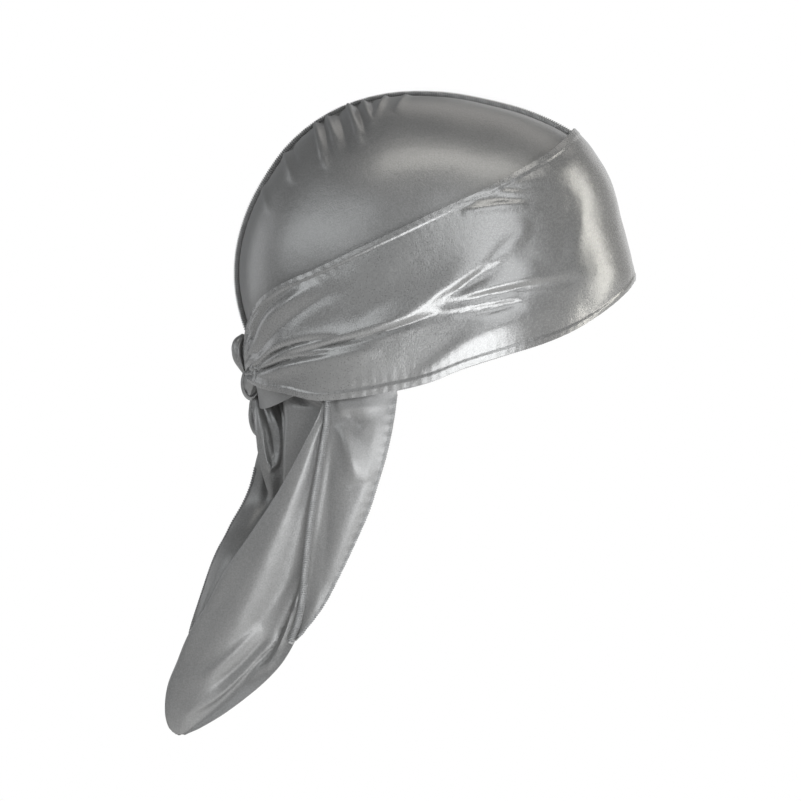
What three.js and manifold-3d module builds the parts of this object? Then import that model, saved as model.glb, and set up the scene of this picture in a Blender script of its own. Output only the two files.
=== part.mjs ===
// A tied durag, worn shape: a two-panel crown with a raised centre seam, a wide band wrapped round the
// forehead and gathered into a knot at the nape, a long tail below it and the two ends of the tie.
// Millimetres, +Z up, the forehead faces -Y. The origin is the inside of the crown at the top of the head.
import * as THREE from "three";
import Module from "manifold-3d";
import { mergeVertices } from "three/addons/utils/BufferGeometryUtils.js";

// Driving dimensions
const HEAD_LENGTH = 198;
const HEAD_WIDTH = 152;
const CROWN_HEIGHT = 84; // ear line up to the top of the head
const CLOTH = 1.2;
const LAYER_GAP = 0.4;
const BAND_WIDTH = 80; // at the forehead
const HEM_WIDTH = 3.4;
const HEM_RISE = 0.7;
const GATHER_HEIGHT = 4.2; // how far the band's folds stand up where they run into the knot
const CROWN_GATHER = 2.2;
const SEAM_HEIGHT = 2.4;
const SEAM_THICKNESS = 2.2;
const TAIL_DROP = 175;
const TAIL_WIDTH = 60; // the wider near face, seen from the side
const TAIL_TUCK = 11; // how far the tail reaches up under the band
const TAIL_PLEAT = 14; // depth of the fold behind the tail's near face
const KNOT_WIDTH = 28;
const KNOT_HEIGHT = 18;
const KNOT_DEPTH = 10;
const LOOP_LENGTH = 24;
const LOOP_WIDTH = 18;
const NEAR_END_DROP = 57;
const FAR_END_DROP = 133;
const TIE_WIDTH = 30;

// How round the head is from side to side: 2 is an ellipse, more is squarer
const ROUNDNESS = 2.3;

const HALF = new THREE.Vector3(HEAD_WIDTH / 2, HEAD_LENGTH / 2, CROWN_HEIGHT);
const EAR_LINE = new THREE.Vector3(0, 0, -CROWN_HEIGHT);
const NEAR = -1;
const FAR = 1;

// Side outline about the ear line, as shares of the head's half length and crown height.
// Angle 0 is the forehead, 90 the top, 180 the back. The wrap column is the taut band, clear of the nape.
const OUTLINE = [
  { angle: 0, head: 1.0, wrap: 1.0 },
  { angle: 20, head: 1.005, wrap: 1.005 },
  { angle: 40, head: 1.022, wrap: 1.022 },
  { angle: 60, head: 1.003, wrap: 1.003 },
  { angle: 75, head: 0.985, wrap: 0.985 },
  { angle: 90, head: 1.0, wrap: 1.0 },
  { angle: 105, head: 1.032, wrap: 1.032 },
  { angle: 120, head: 1.054, wrap: 1.054 },
  { angle: 135, head: 1.043, wrap: 1.043 },
  { angle: 150, head: 1.012, wrap: 1.012 },
  { angle: 165, head: 1.0, wrap: 1.0 },
  { angle: 180, head: 1.008, wrap: 1.008 },
  { angle: 190, head: 1.02, wrap: 1.022 },
  { angle: 202, head: 1.036, wrap: 1.07 },
  { angle: 212, head: 1.062, wrap: 1.16 },
  { angle: 218, head: 1.12, wrap: 1.235 },
  { angle: 224, head: 1.23, wrap: 1.312 },
  { angle: 234, head: 1.465, wrap: 1.487 },
  { angle: 247, head: 1.57, wrap: 1.576 },
  { angle: 265, head: 1.6, wrap: 1.6 },
  { angle: 281, head: 1.47, wrap: 1.47 },
  { angle: 301, head: 1.283, wrap: 1.283 },
  { angle: 322, head: 1.06, wrap: 1.06 },
  { angle: 336, head: 1.0, wrap: 1.0 },
  { angle: 348, head: 0.992, wrap: 0.992 },
  { angle: 360, head: 1.0, wrap: 1.0 },
];

// The band's edges from the middle of the forehead, station 0, to the knot, as side-view shares.
// Lift is how far the top edge stands up over the centre seam, as a share of the seam's height.
const BAND = [
  { station: 0, topBack: -0.727, topUp: 0.803, lowBack: -1.04, lowUp: -0.078, lift: 1.0 },
  { station: 1, topBack: -0.659, topUp: 0.723, lowBack: -0.946, lowUp: -0.202, lift: 0.4 },
  { station: 2, topBack: -0.57, topUp: 0.63, lowBack: -0.789, lowUp: -0.349, lift: 0.0 },
  { station: 3, topBack: -0.413, topUp: 0.519, lowBack: -0.586, lowUp: -0.46, lift: 0.0 },
  { station: 4, topBack: -0.23, topUp: 0.402, lowBack: -0.361, lowUp: -0.547, lift: 0.0 },
  { station: 5, topBack: -0.021, topUp: 0.291, lowBack: -0.136, lowUp: -0.633, lift: 0.0 },
  { station: 6, topBack: 0.188, topUp: 0.174, lowBack: 0.058, lowUp: -0.725, lift: 0.0 },
  { station: 7, topBack: 0.397, topUp: 0.057, lowBack: 0.267, lowUp: -0.787, lift: 0.0 },
  { station: 8, topBack: 0.606, topUp: -0.06, lowBack: 0.45, lowUp: -0.824, lift: 0.0 },
  { station: 9, topBack: 0.789, topUp: -0.158, lowBack: 0.606, lowUp: -0.836, lift: 0.0 },
  { station: 10, topBack: 0.889, topUp: -0.251, lowBack: 0.732, lowUp: -0.805, lift: 0.0 },
  { station: 11, topBack: 0.952, topUp: -0.386, lowBack: 0.857, lowUp: -0.768, lift: 0.0 },
  { station: 12, topBack: 0.972, topUp: -0.51, lowBack: 0.941, lowUp: -0.731, lift: 0.0 },
  { station: 13, topBack: 0.972, topUp: -0.614, lowBack: 0.972, lowUp: -0.701, lift: 0.0 },
];
const LAST_STATION = 13;

// Creases that run out from the knot and ridges of the forehead, one row each. From and to are stations,
// across is the place between the top edge, 0, and the low edge, 1. Wide is a share of the band's width,
// high a share of the gather height: a crease is below 0 and a ridge above.
const BAND_FOLDS = [
  { from: 13, to: 8.2, acrossFrom: 0.54, acrossTo: 0.53, wide: 0.042, high: -1.0 },
  { from: 13, to: 4, acrossFrom: 0.66, acrossTo: 0.72, wide: 0.045, high: -0.9 },
  { from: 13, to: 8.9, acrossFrom: 0.78, acrossTo: 0.63, wide: 0.036, high: -0.7 },
  { from: 13, to: 9, acrossFrom: 0.2, acrossTo: 0.08, wide: 0.04, high: -0.8 },
  { from: 9, to: 2.5, acrossFrom: 0.6, acrossTo: 0.26, wide: 0.06, high: 0.6 },
  { from: 7, to: 2, acrossFrom: 0.64, acrossTo: 0.7, wide: 0.05, high: 0.45 },
];

// The crown panel's hidden edge under the band, paired with the seam's angle over the head
const CROWN = [
  { step: 0, seam: 40.7, edgeBack: -0.768, edgeUp: 0.668 },
  { step: 1, seam: 58, edgeBack: -0.674, edgeUp: 0.556 },
  { step: 2, seam: 80, edgeBack: -0.5, edgeUp: 0.35 },
  { step: 3, seam: 104, edgeBack: -0.3, edgeUp: 0.13 },
  { step: 4, seam: 128, edgeBack: -0.1, edgeUp: -0.07 },
  { step: 5, seam: 152, edgeBack: 0.06, edgeUp: -0.23 },
  { step: 6, seam: 176, edgeBack: 0.18, edgeUp: -0.35 },
  { step: 7, seam: 197, edgeBack: 0.26, edgeUp: -0.42 },
  { step: 8, seam: 213.5, edgeBack: 0.3, edgeUp: -0.455 },
];
const CROWN_STEPS = 8;

// Small gathers that the centre seam pulls into the crown, by their angle over the head
const CROWN_GATHERS = [
  { angle: 109, wide: 2.2, long: 0.16, high: 0.6 },
  { angle: 119, wide: 2.0, long: 0.22, high: 1.0 },
  { angle: 131, wide: 1.8, long: 0.28, high: 0.9 },
  { angle: 145, wide: 2.2, long: 0.24, high: 0.5 },
];

// The hanging tail in level sections. Drop is a share of its length. Seam, the place of the seam behind the
// ear line, is a share of the head's half length; hem and fold are shares of the tail's width ahead of the
// seam and behind it, back the same for the inner layer; near, flap and far are shares of the head's half
// width; pleat is a share of the pleat's depth.
const TAIL = [
  {
    drop: 0.0, seam: 0.538, hem: 0.552, fold: 0.045, back: 0.46,
    near: 0.815, flap: 0.8, far: 0.815, pleat: 0.0,
  },
  {
    drop: 0.074, seam: 0.545, hem: 0.533, fold: 0.12, back: 0.43,
    near: 0.81, flap: 0.79, far: 0.8, pleat: 0.5,
  },
  {
    drop: 0.163, seam: 0.57, hem: 0.523, fold: 0.217, back: 0.4,
    near: 0.79, flap: 0.75, far: 0.765, pleat: 0.9,
  },
  {
    drop: 0.251, seam: 0.596, hem: 0.492, fold: 0.317, back: 0.37,
    near: 0.757, flap: 0.684, far: 0.71, pleat: 1.0,
  },
  {
    drop: 0.34, seam: 0.622, hem: 0.452, fold: 0.432, back: 0.36,
    near: 0.71, flap: 0.605, far: 0.645, pleat: 0.8,
  },
  {
    drop: 0.429, seam: 0.643, hem: 0.372, fold: 0.577, back: 0.4,
    near: 0.658, flap: 0.526, far: 0.566, pleat: 0.45,
  },
  {
    drop: 0.518, seam: 0.659, hem: 0.275, fold: 0.725, back: 0.5,
    near: 0.605, flap: 0.447, far: 0.474, pleat: 0.2,
  },
  {
    drop: 0.607, seam: 0.675, hem: 0.168, fold: 0.837, back: 0.62,
    near: 0.553, flap: 0.368, far: 0.382, pleat: 0.08,
  },
  {
    drop: 0.695, seam: 0.714, hem: 0.045, fold: 0.933, back: 0.72,
    near: 0.493, flap: 0.283, far: 0.303, pleat: 0.0,
  },
  {
    drop: 0.784, seam: 0.8, hem: -0.03, fold: 0.902, back: 0.7,
    near: 0.434, flap: 0.21, far: 0.21, pleat: 0.0,
  },
  {
    drop: 0.858, seam: 0.925, hem: -0.03, fold: 0.78, back: 0.6,
    near: 0.368, flap: 0.171, far: 0.118, pleat: 0.0,
  },
  {
    drop: 0.932, seam: 1.093, hem: -0.03, fold: 0.53, back: 0.4,
    near: 0.289, flap: 0.145, far: 0.026, pleat: 0.0,
  },
  {
    drop: 0.98, seam: 1.232, hem: -0.02, fold: 0.27, back: 0.2,
    near: 0.22, flap: 0.13, far: -0.03, pleat: 0.0,
  },
  {
    drop: 1.0, seam: 1.31, hem: -0.01, fold: 0.08, back: 0.06,
    near: 0.17, flap: 0.13, far: 0.03, pleat: 0.0,
  },
];
const TAIL_TOP_UP = -0.818; // the band's lower edge behind the ear, a share of the crown height
const RIGHT_PANEL_END = 0.695; // drop at which the right panel runs out behind the left one

// The free ends of the tie. Down is a share of the end's drop; rear, where its rear edge lies behind the
// knot's middle, and side are shares of that drop; wide is a share of the tie's width. Turn is how far the
// end faces sideways, in degrees.
const NEAR_END = [
  { down: 0.0, rear: -0.05, side: -0.08, wide: 0.1, turn: 6 },
  { down: 0.14, rear: -0.05, side: -0.1, wide: 0.3, turn: 6 },
  { down: 0.33, rear: -0.051, side: -0.12, wide: 0.44, turn: 6 },
  { down: 0.53, rear: -0.068, side: -0.13, wide: 0.43, turn: 6 },
  { down: 0.72, rear: -0.1, side: -0.15, wide: 0.35, turn: 6 },
  { down: 0.88, rear: -0.14, side: -0.19, wide: 0.22, turn: 6 },
  { down: 1.0, rear: -0.168, side: -0.21, wide: 0.08, turn: 6 },
];
const FAR_END = [
  { down: 0.0, rear: -0.022, side: 0.0, wide: 0.2, turn: 20 },
  { down: 0.08, rear: -0.022, side: 0.008, wide: 0.26, turn: 20 },
  { down: 0.2, rear: -0.03, side: 0.015, wide: 0.3, turn: 20 },
  { down: 0.31, rear: -0.006, side: 0.022, wide: 0.44, turn: 22 },
  { down: 0.39, rear: 0.014, side: 0.036, wide: 0.62, turn: 26 },
  { down: 0.45, rear: 0.048, side: 0.044, wide: 0.8, turn: 34 },
  { down: 0.53, rear: 0.096, side: 0.034, wide: 0.92, turn: 48 },
  { down: 0.63, rear: 0.146, side: 0.0, wide: 0.96, turn: 60 },
  { down: 0.74, rear: 0.185, side: -0.02, wide: 0.72, turn: 66 },
  { down: 0.84, rear: 0.216, side: -0.035, wide: 0.44, turn: 66 },
  { down: 0.94, rear: 0.24, side: -0.05, wide: 0.23, turn: 66 },
  { down: 1.0, rear: 0.248, side: -0.055, wide: 0.1, turn: 66 },
];

// The bow's two loops, along their own length from the knot. Back and up are shares of the loop's length
// from the knot's middle, deep and wide are shares of the loop's width.
const UPPER_LOOP = [
  { along: 0.0, back: 0.17, up: 0.14, deep: 0.06, wide: 0.12 },
  { along: 0.2, back: 0.28, up: 0.34, deep: 0.2, wide: 0.36 },
  { along: 0.45, back: 0.33, up: 0.58, deep: 0.25, wide: 0.5 },
  { along: 0.7, back: 0.32, up: 0.8, deep: 0.22, wide: 0.48 },
  { along: 0.9, back: 0.28, up: 0.95, deep: 0.12, wide: 0.3 },
  { along: 1.0, back: 0.26, up: 1.0, deep: 0.03, wide: 0.08 },
];
const LOWER_LOOP = [
  { along: 0.0, back: -0.02, up: -0.28, deep: 0.06, wide: 0.1 },
  { along: 0.25, back: -0.04, up: -0.5, deep: 0.14, wide: 0.2 },
  { along: 0.55, back: -0.04, up: -0.8, deep: 0.16, wide: 0.24 },
  { along: 0.85, back: -0.06, up: -1.1, deep: 0.13, wide: 0.2 },
  { along: 1.0, back: -0.09, up: -1.24, deep: 0.04, wide: 0.06 },
];

const wasm = await Module();
wasm.setup();

const clamp01 = (value) => Math.min(1, Math.max(0, value));
const mix = (a, b, share) => a + (b - a) * share;
const ease = (share) => share * share * (3 - 2 * share);

// Every column of a table at a station between its rows, by a smooth curve through the rows
function readTable(rows, key, station) {
  let i = rows.findIndex((row) => row[key] > station) - 1;
  if (i < 0) i = station < rows[0][key] ? 0 : rows.length - 2;
  const before = rows[Math.max(0, i - 1)];
  const start = rows[i];
  const end = rows[i + 1];
  const after = rows[Math.min(rows.length - 1, i + 2)];
  const step = end[key] - start[key];
  const share = (station - start[key]) / step;
  const found = {};
  for (const column of Object.keys(start)) {
    const slopeIn = ((end[column] - before[column]) / (end[key] - before[key])) * step;
    const slopeOut = ((after[column] - start[column]) / (after[key] - start[key])) * step;
    const square = share * share;
    const cube = square * share;
    found[column] =
      (2 * cube - 3 * square + 1) * start[column] +
      (cube - 2 * square + share) * slopeIn +
      (3 * square - 2 * cube) * end[column] +
      (cube - square) * slopeOut;
  }
  return found;
}

// A round form about the ear line. Directions are in shares of the head's sizes.
class Form {
  constructor(column) {
    this.column = column;
  }

  outlineAt(back, up) {
    const angle = THREE.MathUtils.radToDeg(Math.atan2(up, -back));
    return readTable(OUTLINE, "angle", (angle + 360) % 360)[this.column];
  }

  reach(direction) {
    const side = Math.abs(direction.x);
    const flat = Math.hypot(direction.y, direction.z) / this.outlineAt(direction.y, direction.z);
    return (side ** ROUNDNESS + flat ** ROUNDNESS) ** (1 / ROUNDNESS);
  }

  normal(direction) {
    const small = 1e-3;
    const slope = (axis) => {
      const more = direction.clone();
      const less = direction.clone();
      more[axis] += small;
      less[axis] -= small;
      return (this.reach(more) - this.reach(less)) / HALF[axis];
    };
    return new THREE.Vector3(slope("x"), slope("y"), slope("z")).normalize();
  }

  point(direction, offset) {
    const onForm = direction.clone().divideScalar(this.reach(direction));
    const normal = this.normal(onForm);
    return onForm.multiply(HALF).add(EAR_LINE).addScaledVector(normal, offset);
  }

  // The direction of the place that shows at these side-view shares
  direction(back, up, side) {
    const flat = Math.hypot(back, up) / this.outlineAt(back, up);
    const x = side * Math.max(0, 1 - flat ** ROUNDNESS) ** (1 / ROUNDNESS);
    return new THREE.Vector3(x, back, up);
  }
}
const head = new Form("head");
const wrap = new Form("wrap");

const toDirection = (point) => point.clone().sub(EAR_LINE).divide(HALF);

function midPlane(angle) {
  const turn = THREE.MathUtils.degToRad(angle);
  return new THREE.Vector3(0, -Math.cos(turn), Math.sin(turn));
}

function between(a, b, share) {
  const lengths = mix(a.length(), b.length(), share);
  return a.clone().normalize().lerp(b.clone().normalize(), share).setLength(lengths);
}

// A closed mesh from an outer and an inner grid of points with the same rows and columns
function sheet(outer, inner) {
  const rows = outer.length;
  const columns = outer[0].length;
  const points = [...outer.flat(), ...inner.flat()];
  const inside = rows * columns;
  const faces = [];
  const quad = (a, b, c, d) => faces.push(a, b, c, a, c, d);
  for (let i = 0; i < rows - 1; i++) {
    for (let j = 0; j < columns - 1; j++) {
      const a = i * columns + j;
      quad(a, a + 1, a + 1 + columns, a + columns);
      quad(inside + a, inside + a + columns, inside + a + columns + 1, inside + a + 1);
    }
  }
  const rim = [];
  for (let j = 0; j < columns; j++) rim.push(j);
  for (let i = 1; i < rows; i++) rim.push(i * columns + columns - 1);
  for (let j = columns - 2; j >= 0; j--) rim.push((rows - 1) * columns + j);
  for (let i = rows - 2; i > 0; i--) rim.push(i * columns);
  rim.forEach((a, n) => {
    const b = rim[(n + 1) % rim.length];
    quad(a, inside + a, inside + b, b);
  });
  return closedGeometry(points, faces);
}

// A closed mesh through rings of points, with a point at the middle of each end
function tube(rings) {
  const sides = rings[0].length;
  const points = rings.flat();
  const faces = [];
  for (let i = 0; i < rings.length - 1; i++) {
    for (let j = 0; j < sides; j++) {
      const a = i * sides + j;
      const b = i * sides + ((j + 1) % sides);
      faces.push(a, b, b + sides, a, b + sides, a + sides);
    }
  }
  const middle = (ring) => ring.reduce((sum, p) => sum.add(p), new THREE.Vector3()).divideScalar(sides);
  const first = points.push(middle(rings[0])) - 1;
  const last = points.push(middle(rings[rings.length - 1])) - 1;
  const lastRing = (rings.length - 1) * sides;
  for (let j = 0; j < sides; j++) {
    const next = (j + 1) % sides;
    faces.push(first, next, j, last, lastRing + j, lastRing + next);
  }
  return closedGeometry(points, faces);
}

function closedGeometry(points, faces) {
  let volume = 0;
  for (let n = 0; n < faces.length; n += 3) {
    const [a, b, c] = [points[faces[n]], points[faces[n + 1]], points[faces[n + 2]]];
    volume += a.dot(b.clone().cross(c));
  }
  if (volume < 0) faces.reverse();
  const geometry = new THREE.BufferGeometry().setFromPoints(points);
  geometry.setIndex(faces);
  return geometry;
}

function toSolid(geometry) {
  const merged = mergeVertices(geometry, 1e-4);
  return new wasm.Manifold(
    new wasm.Mesh({
      numProp: 3,
      vertProperties: merged.attributes.position.array,
      triVerts: new Uint32Array(merged.index.array),
    }),
  );
}

// The part of a geometry that is left when others are cut away
function cutBy(geometry, ...cutters) {
  const left = cutters.reduce((solid, cutter) => solid.subtract(toSolid(cutter)), toSolid(geometry));
  const mesh = left.getMesh();
  const cut = new THREE.BufferGeometry();
  cut.setAttribute("position", new THREE.BufferAttribute(mesh.vertProperties, mesh.numProp));
  cut.setIndex(new THREE.BufferAttribute(mesh.triVerts, 1));
  return cut;
}

// Surface directions of a grid of points, from its neighbours
function gridNormals(grid) {
  return grid.map((row, i) =>
    row.map((_, j) => {
      const down = grid[Math.min(i + 1, grid.length - 1)][j].clone().sub(grid[Math.max(i - 1, 0)][j]);
      const across = row[Math.min(j + 1, row.length - 1)].clone().sub(row[Math.max(j - 1, 0)]);
      return across.cross(down).normalize();
    }),
  );
}

const shifted = (grid, normals, distance) =>
  grid.map((row, i) => row.map((p, j) => p.clone().addScaledVector(normals[i][j], distance)));

// The band's two edges as directions, mirrored to the far side
const bandEdges = BAND.flatMap((row) => {
  const top = wrap.direction(row.topBack, row.topUp, FAR);
  const low = wrap.direction(row.lowBack, row.lowUp, FAR);
  const far = {
    station: row.station,
    lift: row.lift,
    topX: top.x,
    topY: top.y,
    topZ: top.z,
    lowX: low.x,
    lowY: low.y,
    lowZ: low.z,
  };
  return row.station === 0 ? [far] : [{ ...far, station: -row.station, topX: -top.x, lowX: -low.x }, far];
}).sort((a, b) => a.station - b.station);

const frontEdges = readTable(bandEdges, "station", 0);
const drawnWidth = wrap
  .point(new THREE.Vector3(frontEdges.topX, frontEdges.topY, frontEdges.topZ), 0)
  .distanceTo(wrap.point(new THREE.Vector3(frontEdges.lowX, frontEdges.lowY, frontEdges.lowZ), 0));
const widthScale = BAND_WIDTH / drawnWidth;

// The band at a station and a share of the way across, as a direction
function bandDirection(edges, across) {
  const top = new THREE.Vector3(edges.topX, edges.topY, edges.topZ);
  const low = new THREE.Vector3(edges.lowX, edges.lowY, edges.lowZ);
  return between(top, low, across * widthScale);
}

function bandFolds(station, across, width) {
  const distance = Math.abs(station);
  const gather = ease(clamp01((distance - 5) / (LAST_STATION - 5)));
  let height = gather;
  for (const fold of BAND_FOLDS) {
    const along = (distance - fold.from) / (fold.to - fold.from);
    if (along < 0 || along > 1) continue;
    const middle = mix(fold.acrossFrom, fold.acrossTo, along);
    const aside = ((across - middle) * width) / (fold.wide * BAND_WIDTH);
    const fade = fold.high < 0 ? gather * Math.sqrt(1 - along) : Math.sin(Math.PI * along);
    height += fold.high * fade * Math.exp(-aside * aside);
  }
  return GATHER_HEIGHT * Math.max(0, height);
}

function tieBand() {
  const clear = CLOTH + LAYER_GAP * 2;
  const steps = 60;
  const inner = [];
  const outer = [];
  for (let i = 0; i <= steps; i++) {
    const station = mix(-LAST_STATION, LAST_STATION, i / steps);
    const edges = readTable(bandEdges, "station", station);
    const top = wrap.point(bandDirection(edges, 0), clear);
    const width = top.distanceTo(wrap.point(bandDirection(edges, 1), clear));
    const hem = Math.min(HEM_WIDTH / width, 0.2);
    const hemEnd = hem * 1.3;
    const places = [0, hem, hemEnd];
    const plain = 9;
    for (let j = 1; j < plain; j++) places.push(mix(hemEnd, 1 - hemEnd, j / plain));
    places.push(1 - hemEnd, 1 - hem, 1);
    const innerRow = [];
    const outerRow = [];
    places.forEach((across, j) => {
      const direction = bandDirection(edges, across);
      const overSeam = SEAM_HEIGHT * Math.max(0, edges.lift) * (1 - clamp01(across * 4)) ** 2;
      const offset = clear + overSeam + bandFolds(station, across, width);
      const inHem = j < 2 || j > places.length - 3;
      innerRow.push(wrap.point(direction, offset));
      outerRow.push(wrap.point(direction, offset + CLOTH + (inHem ? HEM_RISE : 0)));
    });
    inner.push(innerRow);
    outer.push(outerRow);
  }
  return sheet(outer, inner);
}

// The crown's gathers at a place: the seam's angle and the share of the way from the seam to the edge
function crownGather(angle, across, edge) {
  let height = 0;
  for (const gather of CROWN_GATHERS) {
    const aside = (angle - gather.angle) / gather.wide;
    const inward = clamp01(across / edge) * (1 - ease(clamp01(across / gather.long)));
    height += gather.high * inward * Math.exp(-aside * aside);
  }
  return CROWN_GATHER * height;
}

// One row of the crown from the seam to its hidden edge, as directions
function crownDirections(step, side, shares) {
  const row = readTable(CROWN, "step", step);
  const seam = midPlane(row.seam);
  const edge = head.direction(row.edgeBack, row.edgeUp, side);
  return shares.map((share) => between(seam, edge, share));
}

const crownShares = [];
for (let j = 0; j <= 9; j++) crownShares.push((j / 9) ** 1.35);

const crownStations = [];
for (let i = 0; i <= 30; i++) crownStations.push((CROWN_STEPS * i) / 30);
for (const gather of CROWN_GATHERS) {
  const nearest = crownStations.reduce((best, step, i) => {
    const miss = (n) => Math.abs(readTable(CROWN, "step", crownStations[n]).seam - gather.angle);
    return miss(i) < miss(best) ? i : best;
  }, 0);
  const here = crownStations[nearest];
  const degreesPerStep = 24;
  const turn = (gather.angle - readTable(CROWN, "step", here).seam) / degreesPerStep;
  const aside = gather.wide / degreesPerStep;
  crownStations.splice(nearest, 1, here + turn - aside, here + turn, here + turn + aside);
}
crownStations.sort((a, b) => a - b);

function crownPanel(side) {
  const seamShift = LAYER_GAP / 2;
  const grid = (offset) =>
    crownStations.map((step) => {
      const angle = readTable(CROWN, "step", step).seam;
      return crownDirections(step, side, crownShares).map((direction, j) => {
        const gather = crownGather(angle, crownShares[j], crownShares[1]);
        const point = head.point(direction, offset + gather);
        if (j === 0) point.x = side * seamShift;
        return point;
      });
    });
  return sheet(grid(CLOTH), grid(0));
}

// A raised seam allowance: a rounded fin that stands on a line of points along their normals
function fin(line, normals) {
  const half = SEAM_THICKNESS / 2;
  const section = [
    [-half * 0.7, 0],
    [-half, SEAM_HEIGHT * 0.45],
    [-half * 0.6, SEAM_HEIGHT],
    [half * 0.6, SEAM_HEIGHT],
    [half, SEAM_HEIGHT * 0.45],
    [half * 0.7, 0],
  ];
  return tube(
    line.map((point, i) => {
      const along = line[Math.min(i + 1, line.length - 1)].clone().sub(line[Math.max(i - 1, 0)]);
      const across = along.cross(normals[i]).normalize();
      return section.map(([aside, up]) =>
        point.clone().addScaledVector(across, aside).addScaledVector(normals[i], up),
      );
    }),
  );
}

function crownSeam() {
  const start = 50;
  const end = 203;
  const steps = 34;
  const line = [];
  const normals = [];
  for (let i = 0; i <= steps; i++) {
    const direction = midPlane(mix(start, end, i / steps));
    line.push(head.point(direction, CLOTH + LAYER_GAP * 2));
    normals.push(head.normal(direction));
  }
  return fin(line, normals);
}

// Points of a smooth plan curve at even shares between named corners
function throughCorners(corners, perSpan) {
  const curve = new THREE.CatmullRomCurve3(corners, false, "centripetal");
  const found = [];
  const spans = corners.length - 1;
  corners.slice(1).forEach((_, span) => {
    for (let n = 0; n < perSpan[span]; n++) found.push(curve.getPoint((span + n / perSpan[span]) / spans));
  });
  found.push(corners[spans].clone());
  return found;
}

const FIRST_SHOWN_ROW = 4; // the rows before it are hidden under the band
const RIGHT_SPANS = [3, 3];
const LEFT_SPANS = [2, 3, 2, 2, 2, 2, 2, 3, 2, 3, 3];

// The tail's two panels at one level, each from the seam to its hem
function tailSection(drop) {
  const row = readTable(TAIL, "drop", drop);
  const z = EAR_LINE.z + CROWN_HEIGHT * TAIL_TOP_UP - TAIL_DROP * drop;
  const at = (x, y) => new THREE.Vector3(x, y, z);
  const seamY = HALF.y * row.seam;
  const nearX = -HALF.x * row.near;
  const hemY = seamY - TAIL_WIDTH * row.hem;
  const foldY = seamY + TAIL_WIDTH * row.fold;
  const foldX = -HALF.x * row.flap;
  const backY = seamY + TAIL_WIDTH * row.back;
  const farX = HALF.x * row.far;
  const faceLength = foldY - seamY;
  const hemX = nearX * 1.06;
  const bulge = TAIL_WIDTH * 0.05 * clamp01(row.hem * 3);
  const middle = at(mix(nearX, hemX, 0.5) - bulge, mix(seamY, hemY, 0.5));
  const right = [at(nearX, seamY), middle, at(hemX, hemY)];

  const layer = CLOTH + LAYER_GAP;
  const pocket = TAIL_PLEAT * row.pleat;
  const swell = Math.min(TAIL_WIDTH * 0.1, faceLength * 0.12);
  const backX = mix(foldX, farX, 0.16);
  const diagonal = (share) => at(mix(foldX, backX, share) + layer, mix(foldY, backY, share) - layer);
  const folded = (depth, step) => at(foldX + layer * step, Math.max(foldY - depth, seamY + layer));
  const pleated = clamp01(row.pleat * 4);
  const inner = [
    folded(pocket * 0.5, 1.6).lerp(diagonal(0.2), 1 - pleated),
    folded(pocket, 2.5).lerp(diagonal(0.4), 1 - pleated),
    folded(pocket * 0.5, 3.6).lerp(diagonal(0.6), 1 - pleated),
  ];
  const left = [
    at(nearX, seamY),
    at(mix(nearX, foldX, 0.22) + swell * 0.5, mix(seamY, foldY, 0.22)),
    at(mix(nearX, foldX, 0.62) - swell, mix(seamY, foldY, 0.62)),
    at(foldX, foldY),
    ...inner,
    at(backX, backY),
    at(mix(backX, farX, 0.38), mix(hemY, backY, 0.88)),
    at(farX * 0.86, mix(hemY, backY, 0.68)),
    at(farX, mix(hemY, backY, 0.4)),
    at(farX * 1.04, hemY),
  ];
  return { right: throughCorners(right, RIGHT_SPANS), left: throughCorners(left, LEFT_SPANS) };
}

// The place on the head form at a height, in the plan direction of a point
function onHead(point, z) {
  const direction = toDirection(new THREE.Vector3(point.x, point.y, z));
  let [less, more] = [0, 3];
  for (let n = 0; n < 24; n++) {
    const scale = (less + more) / 2;
    const reach = head.reach(new THREE.Vector3(direction.x * scale, direction.y * scale, direction.z));
    if (reach < 1) less = scale;
    else more = scale;
  }
  direction.x *= less;
  direction.y *= less;
  return head.point(direction, CLOTH / 2);
}

// The tail's rows from under the band down to the tip, with the first rows on the head form
function tailRows() {
  const rows = [];
  const hidden = 3;
  for (let i = 0; i < hidden; i++) {
    const level = tailSection(0);
    const z = level.left[0].z + TAIL_TUCK * (1 - i / hidden);
    const share = ease(i / hidden);
    const settle = (point) => onHead(point, z).lerp(new THREE.Vector3(point.x, point.y, z), share);
    rows.push({ right: level.right.map(settle), left: level.left.map(settle) });
  }
  const levels = 17;
  for (let i = 0; i <= levels; i++) rows.push(tailSection(i / levels));
  return rows;
}

const tail = tailRows();
const hiddenAndFull = tail.length;
const rightRows = tail.filter((row, i) => i === 0 || row.right[0].z > -CROWN_HEIGHT * 3.3);

function tailPanels() {
  const fullGrid = tail.map((row) => [...row.right.slice(1).reverse(), ...row.left]);
  const seamColumn = tail[0].right.length - 1;
  const normals = gridNormals(fullGrid);
  const outer = shifted(fullGrid, normals, CLOTH / 2);
  const inner = shifted(fullGrid, normals, -CLOTH / 2);
  const apart = (row, seam, next) => {
    const share = LAYER_GAP / 2 / row[seam].distanceTo(row[next]);
    return row[seam].clone().lerp(row[next], share);
  };
  const pick = (grid, rows, from, to) =>
    grid.slice(0, rows).map((row) => {
      const part = row.slice(from, to + 1);
      if (from === seamColumn) part[0] = apart(row, seamColumn, seamColumn + 1);
      else part[part.length - 1] = apart(row, seamColumn, seamColumn - 1);
      return part;
    });
  const columns = fullGrid[0].length - 1;
  const panel = (rows, from, to) => sheet(pick(outer, rows, from, to), pick(inner, rows, from, to));
  return {
    right: panel(rightRows.length, 0, seamColumn),
    left: panel(hiddenAndFull, seamColumn, columns),
    seamLine: fullGrid.map((row) => row[seamColumn]),
    seamNormals: normals.map((row) => row[seamColumn]),
  };
}

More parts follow.
